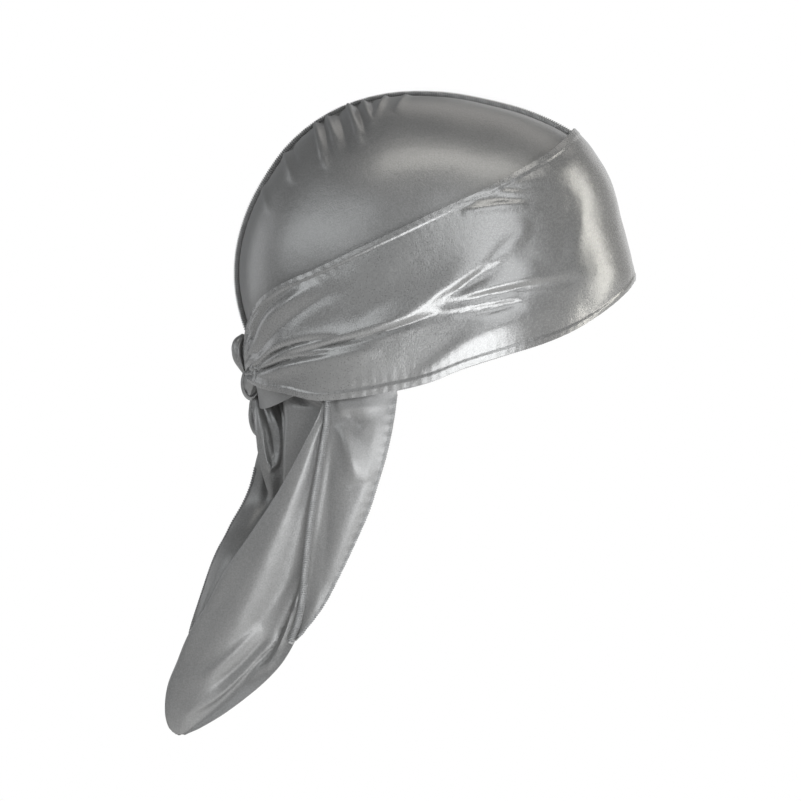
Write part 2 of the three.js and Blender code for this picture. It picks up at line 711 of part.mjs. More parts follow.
// The tail's seam allowance stands on the panels from the band's lower edge to the right panel's end
function tailSeam(line, normals) {
  const shown = [FIRST_SHOWN_ROW, rightRows.length];
  const shownNormals = normals.slice(...shown);
  const base = line.slice(...shown).map((p, i) => {
    return p.clone().addScaledVector(shownNormals[i], CLOTH / 2 + LAYER_GAP * 1.8);
  });
  return fin(base, shownNormals);
}

function knotRings(extra) {
  const sides = 16;
  const rings = 9;
  const centre = knotCentre;
  const made = [];
  for (let i = 1; i < rings; i++) {
    const turn = Math.PI * (i / rings);
    const x = -Math.cos(turn) * (KNOT_WIDTH / 2 + extra);
    const radius = Math.sin(turn) ** 0.7;
    const ring = [];
    for (let j = 0; j < sides; j++) {
      const angle = (2 * Math.PI * j) / sides;
      const y = Math.cos(angle) * (KNOT_DEPTH / 2 + extra) * radius;
      const z = Math.sin(angle) * (KNOT_HEIGHT / 2 + extra) * radius;
      ring.push(new THREE.Vector3(x, y, z).add(centre));
    }
    made.push(ring);
  }
  return tube(made);
}

const knotCentre = new THREE.Vector3(0, HALF.y * 0.96, EAR_LINE.z - CROWN_HEIGHT * 0.727);

// A hanging end of the tie: a strip with two soft folds along it
function tieEnd(rows, drop) {
  const columns = 8;
  const steps = 16;
  const top = knotCentre.clone();
  top.z -= KNOT_HEIGHT * 0.22;
  const grid = [];
  for (let i = 0; i <= steps; i++) {
    const row = readTable(rows, "down", i / steps);
    const rear = top.clone().add(new THREE.Vector3(row.side * drop, row.rear * drop, -drop * (i / steps)));
    const width = row.wide * TIE_WIDTH;
    const turn = THREE.MathUtils.degToRad(row.turn);
    const facing = new THREE.Vector3(-Math.sin(turn), -Math.cos(turn), 0);
    const foldWay = new THREE.Vector3(-Math.cos(turn), Math.sin(turn), 0);
    const points = [];
    for (let j = 0; j <= columns; j++) {
      const across = j / columns;
      const fold = Math.sin(3 * Math.PI * across) * width * 0.13;
      points.push(rear.clone().addScaledVector(facing, across * width).addScaledVector(foldWay, fold));
    }
    grid.push(points);
  }
  const normals = gridNormals(grid);
  return sheet(shifted(grid, normals, CLOTH / 2), shifted(grid, normals, -CLOTH / 2));
}

// A loop of the bow: a soft closed lobe, round in section
function bowLoop(rows, side) {
  const sides = 12;
  const steps = 10;
  const line = [];
  for (let i = 0; i <= steps; i++) line.push(readTable(rows, "along", i / steps));
  const place = (row) =>
    new THREE.Vector3(side, row.back * LOOP_LENGTH, row.up * LOOP_LENGTH).add(knotCentre);
  return tube(
    line.map((row, i) => {
      const ahead = place(line[Math.min(i + 1, steps)]).sub(place(line[Math.max(i - 1, 0)])).normalize();
      const outward = new THREE.Vector3(0, ahead.z, -ahead.y);
      const ring = [];
      for (let j = 0; j < sides; j++) {
        const angle = (2 * Math.PI * j) / sides;
        const point = place(row).addScaledVector(outward, Math.cos(angle) * row.deep * LOOP_WIDTH);
        point.x += Math.sin(angle) * row.wide * LOOP_WIDTH;
        ring.push(point);
      }
      return ring;
    }),
  );
}

const SATIN = new THREE.MeshStandardMaterial({ color: 0x7d7d7b, roughness: 0.38, metalness: 0.25 });
const THREAD = new THREE.MeshStandardMaterial({ color: 0x6f6f70, roughness: 0.7, metalness: 0.0 });

const durag = new THREE.Group();
function add(name, geometry, material) {
  const mesh = new THREE.Mesh(geometry, material);
  mesh.name = name;
  durag.add(mesh);
}

const panels = tailPanels();
const aroundKnot = knotRings(LAYER_GAP);

add("crown_right", crownPanel(NEAR), SATIN.clone());
add("crown_left", crownPanel(FAR), SATIN.clone());
add("crown_seam", crownSeam(), THREAD.clone());
add("tie_band", tieBand(), SATIN.clone());
add("tail_right", panels.right, SATIN.clone());
add("tail_left", panels.left, SATIN.clone());
add("tail_seam", tailSeam(panels.seamLine, panels.seamNormals), THREAD.clone());
add("knot", knotRings(0), SATIN.clone());
add("knot_loop_upper", cutBy(bowLoop(UPPER_LOOP, -KNOT_WIDTH * 0.08), aroundKnot), SATIN.clone());
add("knot_loop_lower", cutBy(bowLoop(LOWER_LOOP, KNOT_WIDTH * 0.3), aroundKnot), SATIN.clone());
add("tie_end_near", cutBy(tieEnd(NEAR_END, NEAR_END_DROP), aroundKnot), SATIN.clone());
add("tie_end_far", cutBy(tieEnd(FAR_END, FAR_END_DROP), aroundKnot), SATIN.clone());

export default durag;
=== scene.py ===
import math

import bpy
import numpy as np
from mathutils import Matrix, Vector


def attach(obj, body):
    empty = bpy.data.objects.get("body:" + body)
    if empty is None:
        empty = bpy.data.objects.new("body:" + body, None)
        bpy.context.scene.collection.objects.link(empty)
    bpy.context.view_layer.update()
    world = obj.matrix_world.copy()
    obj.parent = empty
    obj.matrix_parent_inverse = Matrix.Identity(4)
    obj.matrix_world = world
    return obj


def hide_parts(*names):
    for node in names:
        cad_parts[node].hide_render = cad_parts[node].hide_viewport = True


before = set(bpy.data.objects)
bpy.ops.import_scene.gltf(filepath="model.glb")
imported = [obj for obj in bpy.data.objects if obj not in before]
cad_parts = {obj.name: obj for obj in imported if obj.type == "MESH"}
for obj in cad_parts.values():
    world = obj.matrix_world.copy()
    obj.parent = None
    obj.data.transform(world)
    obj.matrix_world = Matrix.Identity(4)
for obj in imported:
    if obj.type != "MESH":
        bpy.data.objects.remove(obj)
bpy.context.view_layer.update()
bpy.ops.object.select_all(action="DESELECT")

# Sizes in millimetres, in the row frame. The wearer's right is -X and the forehead faces -Y.
HALF = np.array([76.0, 99.0, 84.0])  # half breadth and half length of the head, ear line to crown
EAR_LINE = np.array([0.0, 0.0, -84.0])
ROUNDNESS = 2.3
SATIN = 0.5  # thickness of the crown and the tail
BAND_SATIN = 0.7
TIE_SATIN = 0.6
CROWN_FACE = 1.2  # how far the faces stand off the head
BAND_FACE = 3.0
BAND_WIDTH = 80.0
GATHER = 3.6  # how far the gathered band stands off before it tucks in at the knot
HEM, TAIL_HEM, TIE_HEM = 3.6, 2.4, 2.2
BAND_STITCH, STITCH = 1.2, 1.3
THREAD = 0.36
TAIL_WIDTH = 60.0
TAIL_DROP = 175.0
TAIL_TUCK = 11.0
TAIL_TOP = -152.7
PLEAT = 14.0
TIE_WIDTH = 30.0
TAIL_MIDDLE = np.array([0.0, 40.0, -200.0])
TIES_MIDDLE = np.array([0.0, 60.0, -180.0])
KNOT = np.array([0.0, 95.0, -145.1])
NEAR, FAR = -1, 1
MM = 0.001


class Table:
    """Rows with named columns, read along a smooth curve through them"""

    def __init__(self, columns, *rows):
        self.columns = dict(zip(columns.split(), np.array(rows, float).T))
        self.key = next(iter(self.columns.values()))

    def __call__(self, column, at):
        x, y = self.key, self.columns[column]
        i = np.clip(np.searchsorted(x, at, side="right") - 1, 0, len(x) - 2)
        before, after = np.maximum(i - 1, 0), np.minimum(i + 2, len(x) - 1)
        step = x[i + 1] - x[i]
        t = (at - x[i]) / step
        leave = (y[i + 1] - y[before]) / (x[i + 1] - x[before]) * step
        arrive = (y[after] - y[i]) / (x[after] - x[i]) * step
        start = (2 * t**3 - 3 * t**2 + 1) * y[i] + (t**3 - 2 * t**2 + t) * leave
        return start + (3 * t**2 - 2 * t**3) * y[i + 1] + (t**3 - t**2) * arrive


# Side outline about the ear line, 0 at the forehead, 90 at the top and 180 at the back. The crown lies on
# the head, and the band lies on the wrap, which stands off where the nape turns in.
OUTLINE = Table(
    "angle head wrap",
    (0, 0.988, 0.988), (7.5, 0.97, 0.97), (15, 0.967, 0.967), (22, 0.982, 0.982), (29.5, 1.006, 1.006),
    (35, 1.021, 1.021), (42, 1.033, 1.033), (50, 1.021, 1.021), (60, 1.003, 1.003), (75, 0.985, 0.985),
    (90, 1, 1), (105, 1.026, 1.026), (120, 1.034, 1.034), (135, 1.02, 1.02), (150, 0.994, 0.994),
    (165, 0.994, 0.994), (180, 1.008, 1.008), (190, 1.02, 1.022), (202, 1.036, 1.07), (212, 1.062, 1.16),
    (218, 1.12, 1.235), (224, 1.23, 1.312), (234, 1.465, 1.487), (247, 1.57, 1.576), (265, 1.6, 1.6),
    (281, 1.47, 1.47), (301, 1.283, 1.283), (322, 1.06, 1.06), (336, 1, 1), (348, 1.004, 1.004),
    (355, 1.006, 1.006), (360, 0.988, 0.988),
)

# Edges of the band from the forehead, station 0, to the knot, as shares of the head's sizes
BAND = Table(
    "station top_back top_up low_back low_up lift",
    (0, -0.688, 0.758, -0.998, -0.06, 1), (1, -0.659, 0.723, -0.946, -0.142, 0.4),
    (2, -0.57, 0.63, -0.789, -0.29, 0), (3, -0.413, 0.519, -0.586, -0.416, 0),
    (4, -0.23, 0.402, -0.361, -0.503, 0), (5, -0.021, 0.291, -0.136, -0.588, 0),
    (6, 0.188, 0.174, 0.058, -0.678, 0), (7, 0.397, 0.057, 0.267, -0.738, 0),
    (8, 0.606, -0.06, 0.45, -0.776, 0), (9, 0.789, -0.158, 0.606, -0.794, 0),
    (10, 0.889, -0.251, 0.732, -0.77, 0), (11, 0.952, -0.386, 0.857, -0.748, 0),
    (12, 0.972, -0.51, 0.941, -0.721, 0), (13, 0.972, -0.614, 0.972, -0.701, 0),
)

# Seam angle over the head and the crown's lower edge, hidden under the band
CROWN = Table(
    "step seam edge_back edge_up",
    (0, 40.7, -0.768, 0.668), (1, 58, -0.674, 0.556), (2, 80, -0.5, 0.35), (3, 104, -0.3, 0.13),
    (4, 128, -0.1, -0.07), (5, 152, 0.06, -0.23), (6, 176, 0.18, -0.35), (7, 197, 0.26, -0.42),
    (8, 213.5, 0.3, -0.455), (9, 222.5, 0.34, -0.52),
)

# Level sections of the tail by how far it has dropped. The seam's place is a share of the head's half
# length. The front hem, the fold and the back are shares of the tail's width from the seam, and near, flap
# and far are shares of the head's half breadth. The last column is how much of the pleat is there.
TAIL = Table(
    "drop seam hem fold back near flap far pleat",
    (0, 0.538, 0.552, 0.045, 0.46, 0.815, 0.8, 0.815, 0),
    (0.074, 0.545, 0.533, 0.12, 0.43, 0.81, 0.79, 0.8, 0.5),
    (0.163, 0.57, 0.523, 0.217, 0.4, 0.79, 0.75, 0.765, 0.9),
    (0.251, 0.596, 0.492, 0.317, 0.37, 0.757, 0.684, 0.71, 1),
    (0.34, 0.622, 0.452, 0.432, 0.36, 0.71, 0.605, 0.645, 0.8),
    (0.429, 0.643, 0.372, 0.577, 0.4, 0.658, 0.526, 0.566, 0.45),
    (0.518, 0.659, 0.275, 0.725, 0.5, 0.605, 0.447, 0.474, 0.2),
    (0.607, 0.675, 0.168, 0.837, 0.62, 0.553, 0.368, 0.382, 0.08),
    (0.695, 0.714, 0.045, 0.933, 0.72, 0.493, 0.283, 0.303, 0),
    (0.784, 0.8, -0.03, 0.902, 0.7, 0.434, 0.21, 0.21, 0),
    (0.858, 0.925, -0.03, 0.78, 0.6, 0.368, 0.171, 0.118, 0),
    (0.932, 1.093, -0.03, 0.53, 0.4, 0.289, 0.145, 0.026, 0),
    (0.98, 1.232, -0.02, 0.27, 0.2, 0.22, 0.13, -0.03, 0),
    (1, 1.31, -0.01, 0.08, 0.06, 0.17, 0.13, 0.03, 0),
)

# Folds as seen from the wearer's right: height, width on the left and on the right of the line's way,
# whether they fade at the start, and the line as back and up in millimetres
BAND_FOLDS = [
    (-3.6, 1.4, 1.3, False, (92.7, -138.2), (80.7, -130.4), (70.4, -126.8), (60, -124.7), (48, -123.4)),
    (-2.2, 1.1, 1, True, (78, -132.5), (60, -128.6), (34.2, -123.2), (18.6, -118), (3.1, -113.4),
     (-22.8, -108.7), (-41, -105.4)),
    (1.6, 1.8, 5, True, (84, -130.5), (66, -127), (40, -121.2), (20, -114.6), (6, -110)),
    (-2.8, 1.2, 1.4, False, (91.5, -140.2), (83.3, -138), (75.6, -135.1), (65.2, -133), (53, -131.2)),
    (0.9, 4.5, 1.8, True, (92, -142.4), (80, -139.4), (66, -136), (48, -132.6), (28, -129)),
    (-2.6, 1.6, 2.4, False, (93.6, -122.6), (88.5, -112.8), (80.7, -104.6), (69, -96.6)),
    (1.2, 5, 2.5, True, (93, -127), (84, -114), (72, -104), (58, -96)),
    (-1.4, 3, 4, False, (91, -131.4), (78.2, -118.5), (62.6, -106.5), (44.5, -97.2)),
    (1.9, 4, 8, True, (36, -121), (18.6, -113.9), (8.3, -107.7), (-2.1, -100.4), (-12.4, -93.2),
     (-28, -85.4), (-38.3, -75.1), (-47, -65)),
    (-1.5, 4.6, 2.6, True, (4, -106.4), (-9.8, -99.8), (-22.8, -89.4), (-34, -77), (-42, -70)),
    (-1.2, 2.6, 1.6, True, (-8, -102), (-17.6, -95.4), (-28, -88.8), (-36, -83)),
    (1.7, 2, 5.5, True, (-4, -104.4), (-22.8, -99.9), (-40, -95.9), (-66, -93)),
    (-2.1, 2, 1.7, True, (0, -108.4), (-22.8, -103.3), (-43.5, -98.6), (-72, -93.2)),
    (0.9, 2.2, 1.7, True, (-2.1, -111), (-20, -106.8), (-42, -102.4)),
    (-1.6, 2, 1.7, True, (-8, -112.4), (-26.6, -109.2), (-44, -105)),
    (-1.7, 1.5, 1.5, True, (-14.6, -54.8), (-28, -52.6), (-43.5, -52.7), (-58, -49.7)),
    (-1.4, 1.4, 1.4, True, (-32, -47.6), (-43.5, -49.3), (-56, -46)),
    (1.2, 2.4, 1.6, True, (-12, -60.6), (-33.1, -57.2), (-46, -56.4)),
    (1, 1.4, 1.4, True, (-30, -51.4), (-41, -51), (-52, -51)),
    (1.8, 12, 8, True, (12, -146), (3.1, -138.8), (-15, -125.2), (-31.1, -118.1), (-52, -112),
     (-74, -108)),
    (-0.35, 3.2, 6, True, (16, -142), (6.1, -135.8), (-11, -123.2), (-28.1, -115.6), (-46, -110)),
    (-1.2, 6, 9, True, (-66, -48.8), (-58, -62.7), (-54, -77.6), (-62, -94.2)),
    (0.8, 6, 6, True, (-76, -52), (-72, -68), (-70, -84), (-76, -100)),
]

CROWN_FOLDS = [
    (1.4, 1.8, 1.4, True, (81, -19), (77.6, -27), (74.4, -35), (71.5, -46)),
    (-0.9, 2.2, 1.6, True, (77, -17), (73, -27), (70, -37)),
    (2.2, 1.1, 1.5, True, (65, -3), (61.6, -13), (58.9, -23), (55.6, -39)),
    (-1.6, 1.5, 1.6, True, (62, -1), (58, -12), (55.4, -24), (53, -33)),
    (1.7, 1.1, 1.2, True, (59.2, -1.5), (55, -12), (51.6, -21), (49, -29)),
    (-2.4, 1.9, 2.6, True, (54.5, 3), (50.2, -9), (47.2, -20), (45, -30)),
    (2.6, 1.1, 1.5, True, (48.6, 4.5), (44.4, -6), (41.2, -15), (38.4, -26)),
    (-1.7, 1.3, 1.4, True, (44.4, 5), (40.4, -5), (37.6, -14), (36, -21)),
    (1.7, 1, 1.2, True, (40.2, 6), (37.2, -3), (34.8, -10), (32.4, -18)),
    (-1.2, 1.3, 1.4, True, (33.5, 7), (33, -2), (31.5, -10)),
    (1.5, 1, 1.3, True, (22, 7), (26, -1), (29.6, -8), (32.5, -16)),
    (1, 1.2, 1.6, True, (12, 7), (16, -0.6), (21.5, -10)),
    (0.8, 1.6, 1.6, True, (91.6, -36), (88, -46), (85, -60)),
]

TAIL_FOLDS = [
    (-2.2, 6, 5, True, (55.6, -150), (60.4, -178), (63.6, -200), (68, -225.3), (75, -247), (88, -266),
     (101, -282.5), (116, -300)),
    (0.25, 9, 9, True, (62, -164), (78, -206), (91.1, -240.3), (104.4, -269.2), (122, -292)),
    (2.3, 1.4, 1.5, True, (65.5, -236), (70, -254.7), (74.6, -268.8), (79.7, -281.5), (87.5, -296)),
    (-2.3, 1.6, 1.4, True, (70, -246), (76, -265), (81.9, -278.6), (91.1, -292)),
    (2.1, 3.2, 1.5, True, (78, -276), (90.1, -285.3), (100, -296), (114.4, -308.8), (130, -317.8)),
    (-1.7, 1.6, 3.4, True, (86, -276), (100.4, -291.6), (116.9, -304.8)),
    (1.5, 1.6, 3.8, True, (90, -271), (104, -284.6), (121, -299)),
    (1.2, 1.5, 2.2, True, (80, -290), (88, -291.6), (97, -300)),
    (-0.9, 6, 8, True, (86, -214), (99, -240), (115, -268), (129, -294)),
]

RIGHT_FOLDS = [
    (0.9, 2.6, 2.2, True, (50.5, -161), (39.3, -159.8), (26, -157)),
    (1.9, 2, 9, True, (50, -150.5), (49, -156.5), (46.5, -163)),
    (3, 3, 5, True, (49.6, -168), (44.5, -181.5), (40.6, -197.5)),
    (-1.3, 3, 3, True, (45.5, -160.6), (38.4, -169.7)),
    (-1.5, 5, 4, True, (53, -172), (55.4, -205), (57, -232), (60, -262)),
    (0.9, 4, 5, True, (30, -165), (36, -195), (45, -222), (56, -247)),
]


def unit(v):
    return v / np.maximum(np.linalg.norm(v, axis=-1, keepdims=True), 1e-9)


def ease(t):
    t = np.clip(t, 0, 1)
    return t * t * (3 - 2 * t)


def mix(a, b, t):
    return a + (b - a) * t


def line_run(line):
    """Length along a line at each of its points"""
    return np.concatenate([[0], np.cumsum(np.linalg.norm(np.diff(line, axis=0), axis=1))])


def grid_run(grid, axis=0):
    """Length at each point of a grid along its columns, or along its rows with axis 1"""
    steps = np.diff(grid, axis=axis, prepend=np.take(grid, [0], axis=axis))
    return np.cumsum(np.linalg.norm(steps, axis=2), axis=axis)


def smooth_line(points, count):
    """Even points on a smooth curve through a few places of the side view"""
    points = np.array(points, float)
    run = line_run(points)
    curve = Table("run back up", *np.column_stack([run, points]))
    at = np.linspace(0, run[-1], count)
    return np.column_stack([curve("back", at), curve("up", at)])


def fold_height(points, folds, scale=1.0, shift=(0.0, 0.0)):
    """How far the folds lift a sheet at its points, by their distance in the side view"""
    flat = points[..., 1:] - np.array(shift)
    height = np.zeros(flat.shape[:-1])
    for high, left, right, fades, *line in folds:
        line = smooth_line(line, 20)
        best = np.full(height.shape, 1e9)
        along = np.zeros(height.shape)
        on_left = np.zeros(height.shape, bool)
        spans = len(line) - 1
        for i in range(spans):
            step = line[i + 1] - line[i]
            away = flat - line[i]
            t = np.clip((away @ step) / (step @ step), 0, 1)
            miss = np.linalg.norm(away - t[..., None] * step, axis=-1)
            closer = miss < best
            best = np.where(closer, miss, best)
            along = np.where(closer, (i + t) / spans, along)
            on_left = np.where(closer, step[0] * away[..., 1] - step[1] * away[..., 0] > 0, on_left)
        fade = np.sin(np.pi * along) ** 0.7 if fades else (1 - along) ** 0.7
        wide = np.where(on_left, left, right) * (0.8 + 0.5 * along)
        height += high * scale * fade * np.exp(-((best / wide) ** 1.6))
    return height


def ripple(points, length, seed):
    """Soft uneven waves of about this length, from -1 to 1"""
    waves = 7
    chance = np.random.default_rng(seed)
    total = np.zeros(points.shape[:-1])
    for _ in range(waves):
        way = unit(chance.normal(size=3)) * 2 * np.pi / (length * chance.uniform(0.7, 1.5))
        total += np.sin(points @ way + chance.uniform(0, 6.28))
    return total / waves * 1.6


class Form:
    """The rounded head, about the ear line, with directions in shares of its sizes"""

    def __init__(self, column):
        self.column = column

    def outline(self, back, up):
        return OUTLINE(self.column, np.degrees(np.arctan2(up, -back)) % 360)

    def reach(self, way):
        """How far out a direction lies, 1 on the head's surface"""
        flat = np.hypot(way[..., 1], way[..., 2]) / self.outline(way[..., 1], way[..., 2])
        return (np.abs(way[..., 0]) ** ROUNDNESS + flat**ROUNDNESS) ** (1 / ROUNDNESS)

    def normal(self, way):
        """The way straight off the surface, by the slope of its reach"""
        slopes = []
        for axis in range(3):
            step = np.zeros(3)
            step[axis] = 2e-3
            slopes.append((self.reach(way + step) - self.reach(way - step)) / HALF[axis])
        return unit(np.stack(slopes, axis=-1))

    def point(self, way, offset):
        """The place in a direction that stands this far off the surface"""
        way = way / self.reach(way)[..., None]
        return way * HALF + EAR_LINE + self.normal(way) * np.asarray(offset)[..., None]

    def direction(self, back, up, side):
        """The direction of a place in the side view, on one side of the head"""
        flat = np.hypot(back, up) / self.outline(back, up)
        x = side * np.maximum(0, 1 - flat**ROUNDNESS) ** (1 / ROUNDNESS)
        return np.stack([x, back, up], axis=-1)


head = Form("head")
wrap = Form("wrap")


def mid_plane(angle):
    """Directions over the middle of the head, 0 at the forehead and 90 at the top"""
    turn = np.radians(angle)
    return np.stack([np.zeros_like(turn), -np.cos(turn), np.sin(turn)], axis=-1)


def between(a, b, t):
    """Directions part of the way from a to b"""
    t = np.asarray(t)[..., None]
    longs = [np.linalg.norm(v, axis=-1, keepdims=True) for v in (a, b)]
    return unit(mix(a / longs[0], b / longs[1], t)) * mix(longs[0], longs[1], t)


def grid_normals(grid):
    down = np.gradient(grid, axis=0)
    across = np.gradient(grid, axis=1)
    return unit(np.cross(across, down))


def normals_facing(way, grid, place):
    """The grid's normals, turned so that the one at this place faces this way"""
    normals = grid_normals(grid)
    return -normals if normals[place] @ np.array(way, float) < 0 else normals


def apply_modifiers(piece):
    """Applies a piece's modifiers and shades it smooth"""
    bpy.ops.object.select_all(action="DESELECT")
    bpy.context.view_layer.objects.active = piece
    piece.select_set(True)
    for modifier in list(piece.modifiers):
        bpy.ops.object.modifier_apply(modifier=modifier.name)
    bpy.ops.object.shade_smooth_by_angle(angle=math.radians(60))
    piece.select_set(False)


def own(piece, finish, slot, main=False):
    """Gives a piece its finish and attaches it to the root, and lets a main piece stand for the solid named
    by its slot
    """
    piece.data.materials.clear()
    piece.data.materials.append(finish)
    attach(piece, "root")
    if main:
        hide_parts(slot)
    return piece


def new_mesh(name, points, faces, uvs=None):
    """A piece from points in millimetres"""
    mesh = bpy.data.meshes.new(name)
    mesh.from_pydata((points * MM).tolist(), [], faces)
    if uvs is not None:
        layer = mesh.uv_layers.new(name="weave")
        corner = np.empty(len(mesh.loops), dtype=np.int32)
        mesh.loops.foreach_get("vertex_index", corner)
        layer.data.foreach_set("uv", np.asarray(uvs, np.float32)[corner].ravel())
    mesh.update()
    piece = bpy.data.objects.new(name, mesh)
    bpy.context.collection.objects.link(piece)
    return piece


def face_outward(piece):
    """Turns the faces of a closed mesh outward and shades them smooth"""
    bpy.context.view_layer.objects.active = piece
    piece.select_set(True)
    bpy.ops.object.mode_set(mode="EDIT")
    bpy.ops.mesh.select_all(action="SELECT")
    bpy.ops.mesh.normals_make_consistent(inside=False)
    bpy.ops.object.mode_set(mode="OBJECT")
    bpy.ops.object.shade_smooth()
    piece.select_set(False)


def quads(rows, columns, closed=False):
    """The faces of a grid of points, whose columns may run round and meet"""
    i, j = np.meshgrid(np.arange(rows - 1), np.arange(columns if closed else columns - 1), indexing="ij")
    a = i * columns + j
    b = i * columns + (j + 1) % columns
    return np.stack([a, b, b + columns, a + columns], axis=-1).reshape(-1, 4)


def cloth(name, grid, thickness, finish, slot, middle):
    """A sheet of satin through a grid of points round a middle, with its weave laid along the grid"""
    rows, columns = grid.shape[:2]
    centre = rows // 2, columns // 2
    run, fall = grid_run(grid, 1), grid_run(grid)
    uvs = np.stack([run - run.mean(), np.broadcast_to(fall.mean(1, keepdims=True), run.shape)], axis=-1)
    faces = quads(rows, columns)
    if (grid[centre] - middle) @ grid_normals(grid)[centre] > 0:
        faces = faces[:, ::-1]
    piece = new_mesh(name, grid.reshape(-1, 3), faces.tolist(), uvs.reshape(-1, 2) * MM)
    solid = piece.modifiers.new("cloth", "SOLIDIFY")
    solid.thickness = thickness * MM
    solid.offset = -1.0
    solid.use_even_offset = False
    apply_modifiers(piece)
    own(piece, finish, slot, main=True)
    doubled = np.cross(grid[1:, 1:] - grid[:-1, :-1], grid[1:, :-1] - grid[:-1, 1:])
    area = 0.5e-6 * sum(np.linalg.norm(doubled, axis=2).ravel())
    return piece, area


def tube_piece(name, rings, finish, slot):
    """A closed soft form through rings of points"""
    count, sides = rings.shape[:2]
    points = np.concatenate([rings.reshape(-1, 3), rings[0].mean(0)[None], rings[-1].mean(0)[None]])
    faces = quads(count, sides, closed=True).tolist()
    first, last = count * sides, count * sides + 1
    for j in range(sides):
        faces.append([first, (j + 1) % sides, j])
        faces.append([last, (count - 1) * sides + j, (count - 1) * sides + (j + 1) % sides])
    run = grid_run(rings)
    turn = np.broadcast_to(np.linspace(0, 40, sides), (count, sides))
    uvs = np.concatenate([np.stack([turn, run], axis=-1).reshape(-1, 2), [[0, 0], [0, 1]]]) * MM
    piece = new_mesh(name, points, faces, uvs)
    mesh = piece.data
    volume = sum(Vector(mesh.vertices[p.vertices[0]].co).dot(p.normal) * p.area for p in mesh.polygons)
    if volume < 0:
        mesh.flip_normals()
    apply_modifiers(piece)
    return own(piece, finish, slot, main=True)


def evenly(line, pitch, *others):
    """Points at a pitch along a line, with whatever else goes along it"""
    run = line_run(line)
    at = np.arange(pitch / 2, run[-1], pitch)
    return [np.column_stack([np.interp(at, run, a[:, k]) for k in range(3)]) for a in (line, *others)]


def threads(name, paths, thick, slot):
    """One short sewing thread along each path, thinner towards its ends"""
    count, steps = paths.shape[:2]
    sides = 5
    along = unit(np.gradient(paths, axis=1))
    side = unit(np.cross(along, np.roll(along, 1, axis=2) + [0.3, 0.1, 0.7]))
    other = np.cross(along, side)
    turn = np.linspace(0, 2 * np.pi, sides, endpoint=False)
    swell = np.sin(np.linspace(0.25, np.pi - 0.25, steps)) ** 0.5 * thick
    rings = (
        paths[:, :, None]
        + side[:, :, None] * (np.cos(turn) * swell[:, None])[None, :, :, None]
        + other[:, :, None] * (np.sin(turn) * swell[:, None])[None, :, :, None]
    )
    one = quads(steps, sides, closed=True)
    starts = np.arange(count)[:, None, None] * steps * sides
    faces = (one[None] + starts).reshape(-1, 4).tolist()
    for i in range(count):
        base = i * steps * sides
        faces.append([base + k for k in range(sides)])
        faces.append([base + steps * sides - 1 - k for k in range(sides)])
    piece = new_mesh(name, rings.reshape(-1, 3), faces)
    face_outward(piece)
    return own(piece, grey_thread, slot)


def edge_threads(name, line, inner, normals, pitch, width, slot, slant=1.3):
    """Slanted threads sewn over an edge, seen as a rope of short diagonal stitches"""
    over_edge, arch, sunk = 0.3, 0.42, 0.02
    centre, inside, out = evenly(line, pitch, inner - line, normals)
    along = unit(np.gradient(centre, axis=0))
    inside, out = unit(inside), unit(out)
    s = np.linspace(-1, 1, 6)[None, :, None]
    paths = (
        centre[:, None]
        + inside[:, None] * (width / 2 * (s + 1) - over_edge)
        + along[:, None] * (slant * 0.5 * s)
        + out[:, None] * (arch * (1 - s**2) + sunk)
    )
    return threads(name, paths, THREAD, slot)


# Finishes


class Value:
    """A socket that takes part in sums"""

    def __init__(self, nodes, socket):
        self.nodes, self.socket = nodes, socket

    def maths(self, operation, *terms):
        return self.nodes.node("ShaderNodeMath", {"operation": operation}, dict(enumerate(terms)))[0]

    def __add__(self, other):
        return self.maths("ADD", self, other)

    def __sub__(self, other):
        return self.maths("SUBTRACT", self, other)

    def __rsub__(self, other):
        return self.maths("SUBTRACT", other, self)

    def __mul__(self, other):
        return self.maths("MULTIPLY", self, other)

    __radd__, __rmul__ = __add__, __mul__


class Nodes:
    """The nodes of a material or of the studio's world, and one way to add any of them"""

    def __init__(self, owner):
        owner.use_nodes = True
        self.owner, self.tree = owner, owner.node_tree
        self.tree.nodes.clear()

    def node(self, kind, settings=None, sockets=None):
        made = self.tree.nodes.new(kind)
        for name, setting in (settings or {}).items():
            setattr(made, name, setting)
        for name, value in (sockets or {}).items():
            if isinstance(value, Value):
                self.tree.links.new(value.socket, made.inputs[name])
            else:
                made.inputs[name].default_value = value
        return [Value(self, socket) for socket in made.outputs]

    def close(self, sockets):
        shader = self.node("ShaderNodeBsdfPrincipled", {}, sockets)[0]
        self.node("ShaderNodeOutputMaterial", {}, {"Surface": shader})
        return self.owner


def new_finish(name):
    return Nodes(bpy.data.materials.new(name))


